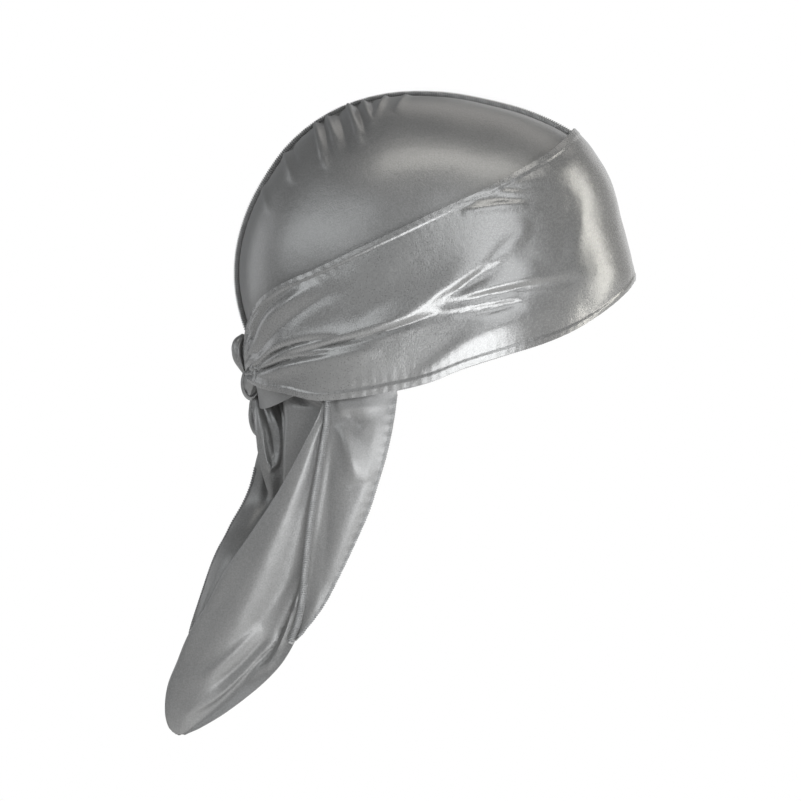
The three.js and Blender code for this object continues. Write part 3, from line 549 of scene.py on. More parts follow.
def satin(name, shade, gloss, metal=0.55):
    """Grey satin: long shining floats of thread over a fine cross weave"""
    tint = (1.0, 0.99, 0.97)
    f = new_finish(name)
    place = f.node("ShaderNodeTexCoord")
    uv, space = place[2], place[3]
    stretched = f.node("ShaderNodeMapping", {}, {"Vector": uv, "Scale": (420, 3400, 1)})[0]
    crossed = f.node("ShaderNodeMapping", {}, {"Vector": uv, "Scale": (2400, 700, 1)})[0]
    floats = f.node("ShaderNodeTexNoise", {}, {"Vector": stretched, "Scale": 1.0, "Detail": 2.0})[0]
    cross = f.node("ShaderNodeTexNoise", {}, {"Vector": crossed, "Scale": 1.0, "Detail": 1.0})[0]
    speck = f.node("ShaderNodeTexNoise", {}, {"Vector": space, "Scale": 1250.0, "Detail": 1.0})[0]
    cloud = f.node("ShaderNodeTexNoise", {}, {"Vector": space, "Scale": 20.0, "Detail": 3.0})[0]
    weave = floats * 0.6 + cross * 0.4
    tone = (weave - 0.5) * 0.7 + (speck - 0.5) * 0.8 + (cloud - 0.5) * 0.35 + 0.5
    dark = tuple(shade * 0.7 * t for t in tint) + (1,)
    light = tuple(shade * 1.32 * t for t in tint) + (1,)
    colour = f.node("ShaderNodeMix", {"data_type": "RGBA"}, {0: tone, 6: dark, 7: light})[2]
    rough = (speck - 0.5) * 0.12 + (cloud - 0.5) * 0.12 + gloss
    puckers = f.node("ShaderNodeTexNoise", {}, {"Vector": space, "Scale": 190.0, "Detail": 2.0})[0]
    height = weave * 0.8 + speck * 0.7 + puckers * 1.4
    bump = f.node("ShaderNodeBump", {}, {"Strength": 0.45, "Distance": 0.00019, "Height": height})[0]
    return f.close(
        {
            "Base Color": colour,
            "Roughness": rough,
            "Metallic": metal,
            "Normal": bump,
            "Sheen Weight": 0.1,
            "Sheen Roughness": 0.4,
            "Specular IOR Level": 0.6,
        }
    )


def thread(name, shade):
    """Matching sewing thread, twisted and duller than the cloth"""
    f = new_finish(name)
    space = f.node("ShaderNodeTexCoord")[3]
    fibre = f.node("ShaderNodeTexNoise", {}, {"Vector": space, "Scale": 1800.0, "Detail": 3.0})[0]
    twist = f.node("ShaderNodeTexWave", {}, {"Vector": space, "Scale": 900.0, "Distortion": 3.0})[1]
    tone = fibre * 0.6 + twist * 0.4
    dark, light = (shade * 0.7,) * 3 + (1,), (shade * 1.35,) * 3 + (1,)
    colour = f.node("ShaderNodeMix", {"data_type": "RGBA"}, {0: tone, 6: dark, 7: light})[2]
    bump = f.node("ShaderNodeBump", {}, {"Strength": 0.5, "Distance": 0.0001, "Height": tone})[0]
    return f.close({"Base Color": colour, "Roughness": fibre * 0.2 + 0.45, "Metallic": 0.1, "Normal": bump})


crown_satin = satin("crown_satin", shade=0.21, gloss=0.34)
band_satin = satin("band_satin", shade=0.23, gloss=0.28)
# The tail's satin is the same grey cloth as the rest, with its shade lowered as painted shade.
tail_satin_painted_shade = satin("tail_satin_painted_shade", shade=0.215, gloss=0.4, metal=0.45)
# The tie's satin is the same grey cloth, with its shade raised as painted light for the knot and near tie end
# that lie in shade.
tie_satin_painted_light = satin("tie_satin_painted_light", shade=0.23, gloss=0.36)
grey_thread = thread("grey_thread", 0.26)


# The crown


def crown_side(side):
    """Half of the cap, from the seam to its hidden edge, with the rows closest where the gathers are"""
    parts = [np.linspace(0, 2.3, 50), np.linspace(2.3, 5.3, 230)[1:], np.linspace(5.3, 9, 90)[1:]]
    rows = np.concatenate(parts)[:, None]
    shares = (np.linspace(0, 1, 90) ** 1.3)[None]
    size = len(rows), shares.size
    seam = mid_plane(CROWN("seam", rows)) + np.zeros((*size, 1))
    edge = head.direction(CROWN("edge_back", rows), CROWN("edge_up", rows), side) + np.zeros((*size, 1))
    ways = between(seam, edge, shares + np.zeros(size))
    flat = head.point(ways, np.zeros(size))
    shown = 1 - ease((shares - 0.62) / 0.2)
    at_seam = ease((shares - 0.012) / 0.06)
    shift = (0.0, 0.0) if side == NEAR else (6.0, 2.0)
    folds = fold_height(flat, CROWN_FOLDS, 1.0 if side == NEAR else 0.8, shift)
    pull = 0.3 * np.sin(CROWN("seam", rows) * 2.1) * np.exp(-((shares / 0.06) ** 2))
    lift = (folds * at_seam + pull * at_seam + 0.25 * ripple(flat, 38, 3)) * shown
    meet = ease((shares - 0.66) / 0.34) * ease(rows / 1.5)
    rear = ease((rows - 6.9) / 1.3) * ease((shares - 0.1) / 0.22)
    under_band = 2.2 + 1.4 * ease((rows - 5) / 3) - 3.6 * rear * (1 - meet)
    held = wrap.point(ways, under_band)
    meet = np.maximum(meet, rear)[..., None]
    grid = mix(head.point(ways, CROWN_FACE + lift), held, meet)
    grid[:, 0, 0] = side * 0.15
    return grid


for side, name in ((NEAR, "crown_right"), (FAR, "crown_left")):
    piece, area = cloth(name + "_satin", crown_side(side), SATIN, crown_satin, name, EAR_LINE)


def lean_fin(name, line, normals, toward, tall, thick, lean, wave, finish, slot):
    """A seam allowance that stands up along a line and leans over to one side"""
    along = unit(np.gradient(line, axis=0))
    across = unit(np.cross(along, normals))
    across = across * np.sign(across @ np.array(toward, float))[:, None]
    rise = normals * np.cos(lean)[:, None] + across * np.sin(lean)[:, None]
    width = np.cross(along, rise)
    half = [(-0.5, 0), (-0.62, 0.3), (-0.5, 0.7), (-0.3, 0.95)]
    section = [*half, (0, 1.02), *((-x, y) for x, y in half[::-1])]
    wavy = wave * np.sin(np.arange(len(line)) * 0.55)
    rings = np.stack(
        [line + width * (x * thick + wavy * y)[:, None] + rise * y * tall for x, y in section], axis=1
    )
    tube_piece(name, rings, finish, slot)
    return rise, width


def fin_threads(name, line, rise, width, tall, thick, pitch, strand, slot):
    """Overlock threads wrapped over the top of a seam allowance"""
    base, up, side = evenly(line, pitch, rise, width)
    along = unit(np.gradient(base, axis=0))
    half = [(-0.75, 0.12, -0.8), (-0.78, 0.5, -0.4), (-0.55, 0.95, -0.1)]
    path = [*half, (0, 1.12, 0), *((-x, y, -z) for x, y, z in half[::-1])]
    paths = np.stack([base + side * x * thick + up * y * tall + along * z for x, y, z in path], axis=1)
    return threads(name, paths, strand, slot)


angles = np.linspace(48, 205, 420)
seam_tall, seam_thick = 3.2, 1.2
seam_line = head.point(mid_plane(angles), np.full(len(angles), CROWN_FACE - 0.1))
seam_normals = head.normal(mid_plane(angles))
lean = np.radians(8 + 30 * np.exp(-(((angles - 118) / 30) ** 4)) + 10 * np.exp(-(((angles - 195) / 30) ** 2)))
rise, width = lean_fin(
    "crown_seam_fold", seam_line, seam_normals, (-1, 0, 0), seam_tall, seam_thick, lean, 0.22,
    crown_satin, "crown_seam",
)
fin_threads("crown_seam_threads", seam_line, rise, width, seam_tall, seam_thick, 1.15, 0.33, "crown_seam")


# The band


def band_ways(stations, across):
    """Directions of the band's places, station along it and share across it"""
    away = np.abs(stations)
    side = np.where(stations < 0, NEAR, FAR)
    top = wrap.direction(BAND("top_back", away), BAND("top_up", away), side)
    low = wrap.direction(BAND("low_back", away), BAND("low_up", away), side)
    return between(top, low, across)


front = wrap.point(band_ways(np.zeros(2), np.array([0.0, 1.0])), np.zeros(2))
band_scale = BAND_WIDTH / np.linalg.norm(front[0] - front[1])

# The band's gathers at the knot: share across it, depth and width
BAND_GATHERS = [
    (0.16, 0.9, 0.05), (0.34, 0.8, 0.06), (0.47, 1.2, 0.05),
    (0.6, 1.4, 0.05), (0.71, 1.2, 0.045), (0.84, 0.8, 0.05),
]


def band_grid():
    """The band from knot to knot, with the rows closest where the folds run to the knot"""
    front_rows = np.linspace(0, 1, 25)[1:] ** ROUNDNESS
    half = np.concatenate([front_rows, np.linspace(1, 7.5, 108)[1:], np.linspace(7.5, 13, 172)[1:]])
    stations = np.concatenate([-half[::-1], [0], half])
    rows, columns = len(stations), 80
    stations = stations[:, None] + np.zeros((1, columns))
    top = wrap.point(band_ways(stations[:, 0], np.zeros(rows)), np.zeros(rows))
    low = wrap.point(band_ways(stations[:, 0], np.ones(rows)), np.zeros(rows))
    width = np.linalg.norm(top - low, axis=1)[:, None]
    hem = np.minimum(HEM / width, 0.2)
    across = np.linspace(0, 1, columns)[None] + np.zeros((rows, 1))
    near_edge = np.minimum(across, 1 - across)
    placed = np.where(near_edge < 0.09, near_edge / 0.09 * hem, hem + (near_edge - 0.09) / 0.41 * (0.5 - hem))
    across = np.where(across < 0.5, placed, 1 - placed)
    ways = band_ways(stations, across * band_scale)
    flat = wrap.point(ways, np.full((rows, columns), BAND_FACE))
    away = np.abs(stations)
    gather = ease((away - 5) / 8)
    bunch = ease((away - 9.2) / 3.4)
    pleats = np.zeros_like(across)
    for place, deep, wide in BAND_GATHERS:
        wander = place + 0.03 * np.sin(away * 1.7 + place * 20)
        pleats -= deep * np.exp(-(((across - wander) / wide) ** 2))
    swell = 0.9 * np.sin(across * np.pi) ** 0.5
    near = fold_height(flat, BAND_FOLDS)
    far = fold_height(flat, BAND_FOLDS, 0.8, (-5.0, 3.0))
    folds = np.where(stations < 0, near, far) * ease(away / 1.5) * (1 - 0.8 * ease((away - 12.2) / 0.8))
    hem_place = np.minimum(across, 1 - across) * width / HEM
    in_hem = 1 - ease((hem_place - 0.8) / 0.25)
    run = grid_run(flat)
    pucker = np.sin(run / 5.2 * 2 * np.pi + 2 * np.sin(run / 23)) * np.exp(-((hem_place / 2.2) ** 2))
    over_seam = 2.4 * np.maximum(0, BAND("lift", away)) * (1 - np.clip(across * 4, 0, 1)) ** 2
    soft = 0.3 * ripple(flat, 46, 11) + 0.12 * ripple(flat, 17, 12)
    tuck = ease((away - 9.4) / 3.6)
    lift = (
        GATHER * gather * (1 - 0.95 * tuck) * ease(0.25 + across / 0.3)
        - 2.4 * tuck
        + bunch * (pleats * 1.3 + swell)
        + folds
        + in_hem * 0.45
        + 0.07 * pucker
        + over_seam
        + soft * np.sin(np.clip(across, 0, 1) * np.pi)
    )
    lift = np.maximum(lift, -0.35 - 2.6 * tuck)
    return wrap.point(ways, BAND_FACE + lift)


band = band_grid()
front_middle = len(band) // 2, 40
band_normals = normals_facing((0, -1, 0), band, front_middle)
band_piece, area = cloth("tie_band_satin", band, BAND_SATIN, band_satin, "tie_band", EAR_LINE)
sewn, sewn_normals = band[8:-8], band_normals[8:-8]
top_threads = edge_threads(
    "band_top_stitches", sewn[:, 0], sewn[:, 8], sewn_normals[:, 4], BAND_STITCH, HEM, "tie_band"
)
low_threads = edge_threads(
    "band_low_stitches", sewn[:, -1], sewn[:, -9], sewn_normals[:, -5], BAND_STITCH, HEM, "tie_band",
    slant=-1.3,
)


# The tail


def through(corners, counts):
    """Points on a smooth curve through corners, spaced so that tight bends stay round"""
    c = np.array(corners, float)
    c = np.concatenate([[2 * c[0] - c[1]], c, [2 * c[-1] - c[-2]]])
    found = []
    for k, count in enumerate(counts):
        p = c[k : k + 4]
        d = np.maximum(np.linalg.norm(np.diff(p, axis=0), axis=1) ** 0.5, 1e-4)
        leave = ((p[1] - p[0]) / d[0] - (p[2] - p[0]) / (d[0] + d[1]) + (p[2] - p[1]) / d[1]) * d[1]
        arrive = ((p[2] - p[1]) / d[1] - (p[3] - p[1]) / (d[1] + d[2]) + (p[3] - p[2]) / d[2]) * d[1]
        t = (np.arange(count) / count)[:, None]
        found.append(
            (2 * t**3 - 3 * t**2 + 1) * p[1] + (t**3 - 2 * t**2 + t) * leave
            + (3 * t**2 - 2 * t**3) * p[2] + (t**3 - t**2) * arrive
        )
    return np.concatenate([*found, [c[-2]]])


RIGHT_END = -279.0  # height where the front panel's hem meets the tail seam
TUCKED_ROWS = 7  # rows of the tail hidden under the band

# Points between the corners of a level section, ahead of the seam and behind it
RIGHT_COUNTS = (16, 16)
LEFT_COUNTS = (10, 16, 12, 9, 7, 7, 20, 14, 12, 14, 14)


def tail_section(drop):
    """The tail's cloth at one level, from its front hem round the seam and the fold to the far hem"""
    row = {name: float(TAIL(name, drop)) for name in TAIL.columns}
    seam_y = HALF[1] * row["seam"]
    near_x = -HALF[0] * row["near"]
    hem_y = seam_y - TAIL_WIDTH * row["hem"]
    fold_y = seam_y + TAIL_WIDTH * row["fold"]
    fold_x = -HALF[0] * row["flap"]
    tucked = 0.05 * (1 - float(ease((drop - 0.26) / 0.14)))
    back_y = seam_y + TAIL_WIDTH * (row["back"] - tucked)
    far_x = HALF[0] * row["far"]
    hem_x = near_x * 1.06
    bulge = TAIL_WIDTH * 0.05 * min(1, max(0, row["hem"] * 3))
    right = [(near_x, seam_y), (mix(near_x, hem_x, 0.5) - bulge, mix(seam_y, hem_y, 0.5)), (hem_x, hem_y)]
    layer = 1.6
    pocket = PLEAT * row["pleat"]
    swell = min(TAIL_WIDTH * 0.1, (fold_y - seam_y) * 0.09)
    back_x = mix(fold_x, far_x, 0.16)
    pleated = min(1, max(0, row["pleat"] * 4))

    def inner(depth, step, share):
        folded = np.array([fold_x + layer * step, max(fold_y - depth, seam_y + layer)])
        diagonal = np.array([mix(fold_x, back_x, share) + layer, mix(fold_y, back_y, share) - layer])
        return mix(diagonal, folded, pleated)

    left = [
        (near_x, seam_y),
        (mix(near_x, fold_x, 0.22) + swell * 0.5, mix(seam_y, fold_y, 0.22)),
        (mix(near_x, fold_x, 0.62) - swell, mix(seam_y, fold_y, 0.62)),
        (fold_x, fold_y),
        inner(pocket * 0.5, 1.6, 0.2),
        inner(pocket, 2.5, 0.4),
        inner(pocket * 0.5, 3.6, 0.6),
        (back_x, back_y),
        (mix(back_x, far_x, 0.38), mix(hem_y, back_y, 0.88)),
        (far_x * 0.86, mix(hem_y, back_y, 0.68)),
        (far_x, mix(hem_y, back_y, 0.4)),
        (far_x * 1.04, hem_y),
    ]
    plan = np.concatenate([through(right, RIGHT_COUNTS)[:0:-1], through(left, LEFT_COUNTS)])
    return np.column_stack([plan, np.full(len(plan), TAIL_TOP - TAIL_DROP * drop)])


def on_head(points, z):
    """The points moved level onto the head at this height"""
    way = (np.column_stack([points[:, :2], np.full(len(points), z)]) - EAR_LINE) / HALF
    less, more = np.zeros(len(points)), np.full(len(points), 3.0)
    for _ in range(24):
        scale = (less + more) / 2
        inside = head.reach(way * np.column_stack([scale, scale, np.ones_like(scale)])) < 1
        less, more = np.where(inside, scale, less), np.where(inside, more, scale)
    return head.point(way * np.column_stack([less, less, np.ones_like(less)]), np.full(len(points), 0.6))


def tail_grid():
    """The tail from its tucked top, under the band, to its rounded tip"""
    level = tail_section(0.0)
    rows = []
    for share in np.linspace(0, 1, TUCKED_ROWS + 1)[:-1]:
        z = TAIL_TOP + TAIL_TUCK * (1 - share)
        hanging = np.column_stack([level[:, :2], np.full(len(level), z)])
        rows.append(mix(on_head(level, z), hanging, ease(share)))
    tip = 0.97 + 0.03 * np.sin(np.linspace(0, np.pi / 2, 12))
    drops = np.concatenate([np.linspace(0, 0.97, 146)[:-1], tip])
    rows += [tail_section(drop) for drop in drops]
    end = rows[-1].mean(0)
    rows += [mix(rows[-1], end - [0, 0, down], share) for share, down in ((0.5, 0.1), (0.85, 0.2))]
    return np.array(rows)


seam_at = sum(RIGHT_COUNTS)
fold_at = seam_at + sum(LEFT_COUNTS[:3])


def tail_lift(tail):
    """How far folds, pleat and soft waves lift each point of the tail"""
    column = np.arange(tail.shape[1])[None]
    falling = np.clip((TAIL_TOP + 4 - tail[..., 2]) / 12, 0, 1)
    on_flap = ease((column - seam_at) / 5) * (1 - ease((column - fold_at + 4) / 5))
    on_right = (1 - ease((column - seam_at + 4) / 4)) * ease(column / 4)
    in_pleat = np.clip((column - fold_at - 23) / 20, 0, 1)
    on_back = ease((column - fold_at - 45) / 10) * (1 - ease((column - tail.shape[1] + 8) / 8))
    lift = fold_height(tail, TAIL_FOLDS) * on_flap * falling
    lift += fold_height(tail, RIGHT_FOLDS) * on_right
    lift -= 3.2 * np.sin(np.pi * in_pleat**0.8)
    back_wave = 1.6 * np.sin((column - fold_at) * 0.21 + tail[..., 2] * 0.012)
    lift += on_back * falling * (back_wave + 0.9 * ripple(tail * [1, 1, 0.3], 26, 21))
    lift += 0.35 * ripple(tail * [1, 1, 0.6], 30, 22) * falling + 0.12 * ripple(tail, 11, 23) * falling
    hem_wave = np.exp(-((np.minimum(column, tail.shape[1] - 1 - column) / 3.0) ** 2))
    lift += 0.25 * np.sin(tail[..., 2] * 1.15) * hem_wave * falling
    return lift * ease((len(tail) - 1 - np.arange(len(tail))) / 12)[:, None]


tail = tail_grid()
right_middle = 60, 16
tail = tail + normals_facing((-1, 0, 0), tail, right_middle) * tail_lift(tail)[..., None]
tail_normals = normals_facing((-1, 0, 0), tail, right_middle)

right_rows = int(np.sum(tail[:, seam_at, 2] > RIGHT_END))
right_part, left_part = tail[:right_rows, : seam_at + 1], tail[:, seam_at:]
right_sewn, left_sewn = slice(TUCKED_ROWS, right_rows), slice(TUCKED_ROWS, -26)
hem_threads = edge_threads(
    "tail_right_hem_stitches", tail[right_sewn, 0], tail[right_sewn, 3], tail_normals[right_sewn, 2],
    STITCH, TAIL_HEM, "tail_right",
)
piece, area = cloth("tail_right_satin", right_part, SATIN, tail_satin_painted_shade, "tail_right", TAIL_MIDDLE)
far_threads = edge_threads(
    "tail_left_hem_stitches", tail[left_sewn, -1], tail[left_sewn, -4], tail_normals[left_sewn, -3],
    STITCH, TAIL_HEM, "tail_left",
)
piece, area = cloth("tail_left_satin", left_part, SATIN, tail_satin_painted_shade, "tail_left", TAIL_MIDDLE)

seam_rows = slice(TUCKED_ROWS + 1, right_rows + 2)
tail_line = tail[seam_rows, seam_at]
tail_out = unit(tail_normals[seam_rows, seam_at] * [1, 0.6, 0.3] + [-0.4, 0, 0])
tail_lean = np.radians(np.full(len(tail_line), 52.0))
seam_tall, seam_thick = 3.4, 1.0
rise, width = lean_fin(
    "tail_seam_fold", tail_line, tail_out, (0, 1, 0), seam_tall, seam_thick, tail_lean, 0.2,
    tail_satin_painted_shade, "tail_seam",
)
fin_threads("tail_seam_threads", tail_line, rise, width, seam_tall, seam_thick, 0.95, 0.25, "tail_seam")


# The knot, its loops and the ends of the tie


def creased(turn, valleys):
    """Radius around a gathered form, 1 with sharp valleys at the given turns"""
    radius = np.ones_like(turn)
    for place, deep, wide in valleys:
        away = np.abs((turn - place + np.pi) % (2 * np.pi) - np.pi)
        radius -= deep * np.exp(-((away / wide) ** 1.2))
    return radius


def soft_lobe(name, spine, across, deep, valleys, slot, twist):
    """A gathered form round a spine, with its half widths in the side view and sideways at each point of
    the spine, and its valleys as turn, depth and width"""
    count, sides = 90, 72
    rows = np.column_stack([spine, across, deep])
    run = line_run(rows[:, :3])
    curve = Table("run x y z a b", *np.column_stack([run, rows]))
    at = run[-1] * (0.5 - 0.5 * np.cos(np.linspace(0.02, np.pi - 0.02, count)))
    centre = np.column_stack([curve(c, at) for c in "xyz"])
    along = unit(np.gradient(centre, axis=0))
    sideways = np.array([-1.0, 0, 0]) if abs(along[:, 0]).max() < 0.9 else np.array([0, 1.0, 0])
    in_view = unit(np.cross(along, sideways))
    turn = np.linspace(0, 2 * np.pi, sides, endpoint=False)[None] + np.zeros((count, 1))
    share = (at / run[-1])[:, None]
    fading = np.sin(np.pi * np.clip(share * 1.1 + 0.02, 0, 1)) ** 0.5
    radius = creased(turn, [(p + twist * (share - 0.5), d * fading, w) for p, d, w in valleys])
    a, b = np.maximum(curve("a", at), 0.2)[:, None], np.maximum(curve("b", at), 0.2)[:, None]
    shape = radius * (1 + 0.02 * np.sin(9 * turn + 14 * share))
    rings = (
        centre[:, None]
        + in_view[:, None] * (np.cos(turn) * a * shape)[..., None]
        + sideways * (np.sin(turn) * b * shape)[..., None]
    )
    tube_piece(name, rings, tie_satin_painted_light, slot)


soft_lobe(
    "knot_core",
    [
        (19, 93.8, -141.5), (13, 94.6, -143.5), (5, 95.2, -146.0), (-4, 95.4, -146.6), (-13, 94.8, -144.5),
        (-20, 93.6, -141),
    ],
    (6.4, 8.8, 9.2, 9.2, 8.4, 6.0),
    (3.6, 4.6, 5.0, 5.0, 4.4, 3.4),
    [
        (0.4, 0.16, 0.3), (1.5, 0.2, 0.25), (2.5, 0.2, 0.3), (3.6, 0.16, 0.25), (4.6, 0.2, 0.3),
        (5.6, 0.14, 0.3),
    ],
    "knot", twist=1.4,
)


def knot_wrap():
    """A turn of the tie that crosses over the knot from above to below"""
    angle = np.linspace(0, 2 * np.pi, 110, endpoint=False)
    turns = np.linspace(0, 2 * np.pi, 40, endpoint=False)
    a, t = np.meshgrid(angle, turns, indexing="ij")
    half = 7.5 + 1.2 * np.sin(a * 2 + 0.6)
    wander = 0.3 * np.sin(a)
    ridge = creased(t, [(0.9 + wander, 0.35, 0.25), (1.9 - wander, 0.45, 0.25), (2.6, 0.3, 0.2)])
    x = np.cos(t) * half - 5.0 + 2.6 * np.sin(a + 0.4)
    out = np.sin(t) * 1.7 * ridge
    y = np.cos(a) * (4.3 + out)
    z = np.sin(a) * (7.9 + out)
    return np.stack([x, y + 0.2, z - 1.0], axis=-1) + KNOT


def ring_piece(name, rings, finish, slot):
    """A closed band through rings that meet again at the start"""
    count, sides = rings.shape[:2]
    faces = quads(count + 1, sides, closed=True) % (count * sides)
    run = grid_run(rings)
    turn = np.broadcast_to(np.linspace(0, 20, sides), run.shape)
    uvs = np.stack([turn, run], axis=-1).reshape(-1, 2) * MM
    piece = new_mesh(name, rings.reshape(-1, 3), faces.tolist(), uvs)
    face_outward(piece)
    return own(piece, finish, slot)


ring_piece("knot_wrap", knot_wrap(), tie_satin_painted_light, "knot")
soft_lobe(
    "knot_upper_loop",
    [(-6, 97.2, -142.5), (-6, 98.6, -138.0), (-5, 100.4, -132.0), (-4, 100.9, -126.0), (-4, 99.4, -121.2)],
    (1.6, 3.4, 4.9, 4.3, 1.0),
    (3.2, 6.0, 8.0, 6.5, 2.0),
    [(0.75, 0.3, 0.2), (1.45, 0.42, 0.24), (2.2, 0.25, 0.2), (4.6, 0.35, 0.3), (5.4, 0.2, 0.3)],
    "knot_loop_upper", twist=-0.9,
)
soft_lobe(
    "knot_lower_loop",
    [(5, 93.0, -151.0), (6, 93.2, -157.0), (6.5, 93.2, -164.0), (6.5, 92.2, -170.5), (6, 90.6, -175.2)],
    (2.0, 3.6, 4.0, 3.4, 0.8),
    (2.4, 3.6, 4.4, 3.6, 1.2),
    [(0.9, 0.3, 0.25), (2.0, 0.25, 0.25), (4.4, 0.3, 0.3)],
    "knot_loop_lower", twist=0.6,
)


# The tie's two ends, as shares of how far each hangs: rearward, sideways, width and turn in degrees
NEAR_HANG, FAR_HANG = 57.0, 133.0
NEAR_END = Table(
    "down rear side wide turn",
    (0, -0.04, -0.14, 0.3, 6), (0.12, -0.03, -0.22, 0.52, 6), (0.3, -0.03, -0.29, 0.6, 6),
    (0.5, -0.05, -0.31, 0.6, 6), (0.7, -0.08, -0.31, 0.56, 6), (0.87, -0.13, -0.3, 0.42, 6),
    (1, -0.168, -0.28, 0.2, 6),
)
FAR_END = Table(
    "down rear side wide turn",
    (0, -0.022, 0, 0.2, 20), (0.08, -0.022, 0.008, 0.26, 20), (0.2, -0.03, 0.015, 0.3, 20),
    (0.31, -0.006, 0.022, 0.44, 22), (0.39, 0.014, 0.036, 0.62, 26), (0.45, 0.04, 0.044, 0.8, 34),
    (0.53, 0.084, 0.034, 0.92, 48), (0.63, 0.134, 0, 0.96, 60), (0.74, 0.175, -0.02, 0.72, 66),
    (0.84, 0.208, -0.035, 0.44, 66), (0.94, 0.24, -0.05, 0.23, 66), (1, 0.248, -0.055, 0.1, 66),
)
END_FOLDS = [
    (1.2, 1.2, 1.3, True, (93.4, -151), (91.4, -160), (89.4, -174), (87.8, -184.5), (85.2, -190.4),
     (82, -188), (80.3, -179), (81, -168)),
    (-1.4, 0.9, 0.9, True, (91.6, -153.3), (87.8, -163.6), (84.9, -172.8), (83, -184)),
    (0.9, 1.2, 1, True, (89, -150), (85, -160.5), (81.6, -168.8), (80, -178)),
    (-0.8, 0.9, 1.2, True, (84.6, -150), (80.4, -160.5), (78.6, -171)),
]


def tie_end(rows, drop, count, columns, folds):
    """One end of the tie as it hangs from the knot, its rear edge placed by the rows"""
    share = np.linspace(0, 1, count)
    top = KNOT - [0, 0, 4.0]
    rear = top + np.column_stack([rows("side", share), rows("rear", share), -share]) * drop
    turn = np.radians(rows("turn", share))
    facing = np.column_stack([-np.sin(turn), -np.cos(turn), np.zeros(count)])
    fold_way = np.column_stack([-np.cos(turn), np.sin(turn), np.zeros(count)])
    s = np.linspace(0, 1, columns)[None]
    width = rows("wide", share)[:, None] * TIE_WIDTH
    fold = np.sin(2.4 * np.pi * s) * width * 0.12 * folds
    return rear[:, None] + facing[:, None] * (s * width)[..., None] + fold_way[:, None] * fold[..., None]


near_end = tie_end(NEAR_END, NEAR_HANG, 130, 70, 0.3)
creases = fold_height(near_end, END_FOLDS) + 0.15 * ripple(near_end, 7, 31)
near_end = near_end + normals_facing((-1, 0, 0), near_end, (40, 20)) * creases[..., None]
far_end = tie_end(FAR_END, FAR_HANG, 150, 50, 0.55)
spread = np.linspace(0, 1, 50)[None]
creases = 0.4 * np.sin(spread * 14 + far_end[..., 2] * 0.02) * np.sin(spread * np.pi)
creases = creases + 0.3 * ripple(far_end, 14, 32)
far_end = far_end + normals_facing((0, 1, 0), far_end, (60, 20)) * creases[..., None]

# The far tie end takes the tail's darker satin as painted shade, for the shade it hangs in.
for slot, grid, finish in (("tie_end_near", near_end, tie_satin_painted_light), ("tie_end_far", far_end, tail_satin_painted_shade)):
    piece, area = cloth(slot + "_satin", grid, TIE_SATIN, finish, slot, TIES_MIDDLE)

sewn, sewn_normals = far_end[46:-6], normals_facing((0, 1, 0), far_end, (80, 2))[46:-6]
edge_threads(
    "tie_end_far_stitches", sewn[:, 0], sewn[:, 4], sewn_normals[:, 2], STITCH, TIE_HEM, "tie_end_far"
)


# Stage


def pale(name):
    f = new_finish(name)
    white = (0.9, 0.9, 0.9, 1)
    return f.close({"Base Color": white, "Roughness": 0.9, "Emission Color": white, "Emission Strength": 0.4})


bpy.ops.mesh.primitive_circle_add(vertices=96, radius=7.0, fill_type="NGON", location=(0, 0, -0.9))
floor = bpy.context.object
floor.name = "floor"
floor.data.materials.append(pale("pale_floor"))
bpy.ops.object.select_all(action="DESELECT")

# A dim cool sky that the camera sees as plain white
world = bpy.data.worlds.new("studio")
bpy.context.scene.world = world
sky = Nodes(world)
seen_by_camera = sky.node("ShaderNodeLightPath")[0]
lit = sky.node("ShaderNodeBackground", {}, {"Color": (0.93, 0.96, 1.0, 1), "Strength": 0.19})[0]
plain = sky.node("ShaderNodeBackground", {}, {"Color": (1, 1, 1, 1), "Strength": 1.0})[0]
shown = sky.node("ShaderNodeMixShader", {}, {0: seen_by_camera, 1: lit, 2: plain})[0]
sky.node("ShaderNodeOutputWorld", {}, {"Surface": shown})

WHITE, WARM, CREAM = (1, 1, 1), (1.0, 0.96, 0.92), (1.0, 0.985, 0.94)
COOL, COOLER, COLD = (0.95, 0.975, 1.0), (0.95, 0.97, 1.0), (0.93, 0.97, 1.0)

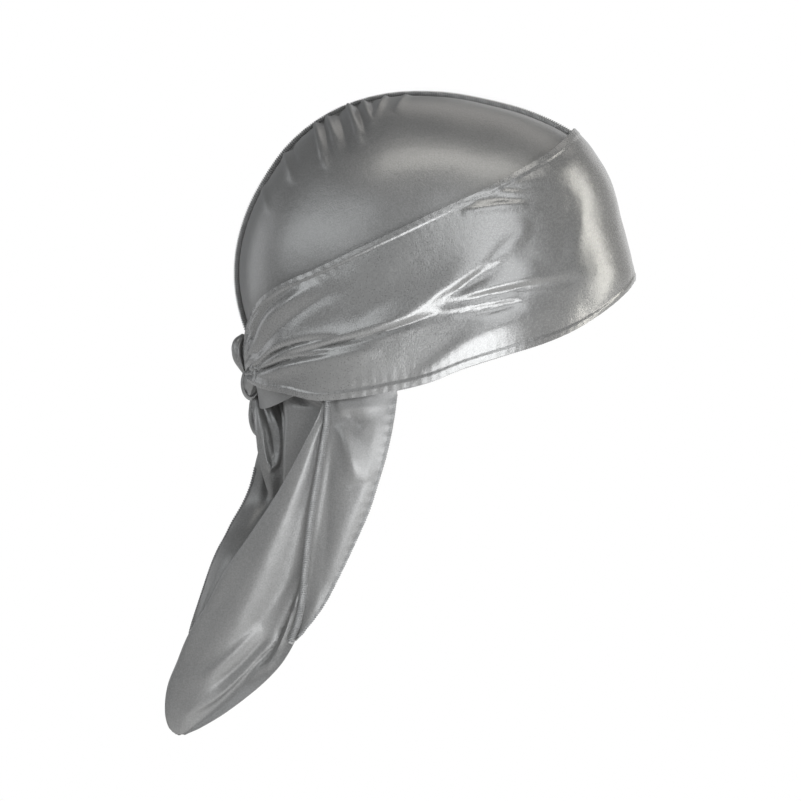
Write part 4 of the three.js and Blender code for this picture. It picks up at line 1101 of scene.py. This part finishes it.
# Softboxes: place and height aimed at in metres, size, watts and colour
for name, place, aim, size, power, colour in (
    ("overhead", (-0.60, -0.12, 0.98), -0.06, (1.3, 0.30), 4.8, CREAM),
    ("over_far", (0.62, -0.35, 0.95), -0.06, (1.1, 0.6), 1.7, WARM),
    ("front_strip", (0.16, -1.28, 0.06), -0.08, (0.28, 1.5), 9.0, (1.0, 0.985, 0.92)),
    ("front_far", (0.9, -0.85, 0.0), -0.08, (0.8, 1.2), 0.8, WARM),
    ("back_fill", (-0.74, 1.04, 0.32), -0.08, (1.5, 0.42), 4.6, COLD),
    ("back_far", (0.55, 1.15, 0.05), -0.08, (0.6, 0.7), 1.6, COOLER),
    ("far_side", (0.95, -0.35, -0.1), -0.12, (0.6, 1.1), 1.6, WHITE),
    ("side_high", (-0.91, -0.33, 0.17), -0.1, (0.62, 0.6), 3.4, COOL),
    ("side_low", (-0.91, -0.33, -0.58), -0.12, (0.62, 0.5), 6.4, COOL),
):
    softbox = bpy.data.lights.new(name, "AREA")
    softbox.shape = "RECTANGLE"
    softbox.size, softbox.size_y = size
    softbox.energy = power
    softbox.color = colour
    light = bpy.data.objects.new(name, softbox)
    bpy.context.collection.objects.link(light)
    light.location = place
    light.visible_camera = False
    light.rotation_euler = (Vector((0, 0, aim)) - Vector(place)).to_track_quat("-Z", "Y").to_euler()

# The camera looks level at the wearer's right, in metres
CAMERA_AWAY = 3.0
PICTURE_WIDE = 0.4146
PICTURE_MIDDLE = 0.0184, -0.1555
camera_data = bpy.data.cameras.new("camera")
camera = bpy.data.objects.new("camera", camera_data)
bpy.context.collection.objects.link(camera)
camera_data.sensor_width = 36.0
camera_data.lens = camera_data.sensor_width * CAMERA_AWAY / PICTURE_WIDE
camera.location = (-CAMERA_AWAY, *PICTURE_MIDDLE)
camera.rotation_euler = Vector((1, 0, 0)).to_track_quat("-Z", "Y").to_euler()
camera_data.clip_end = 100
bpy.context.scene.camera = camera
bpy.context.scene.view_settings.view_transform = "Standard"
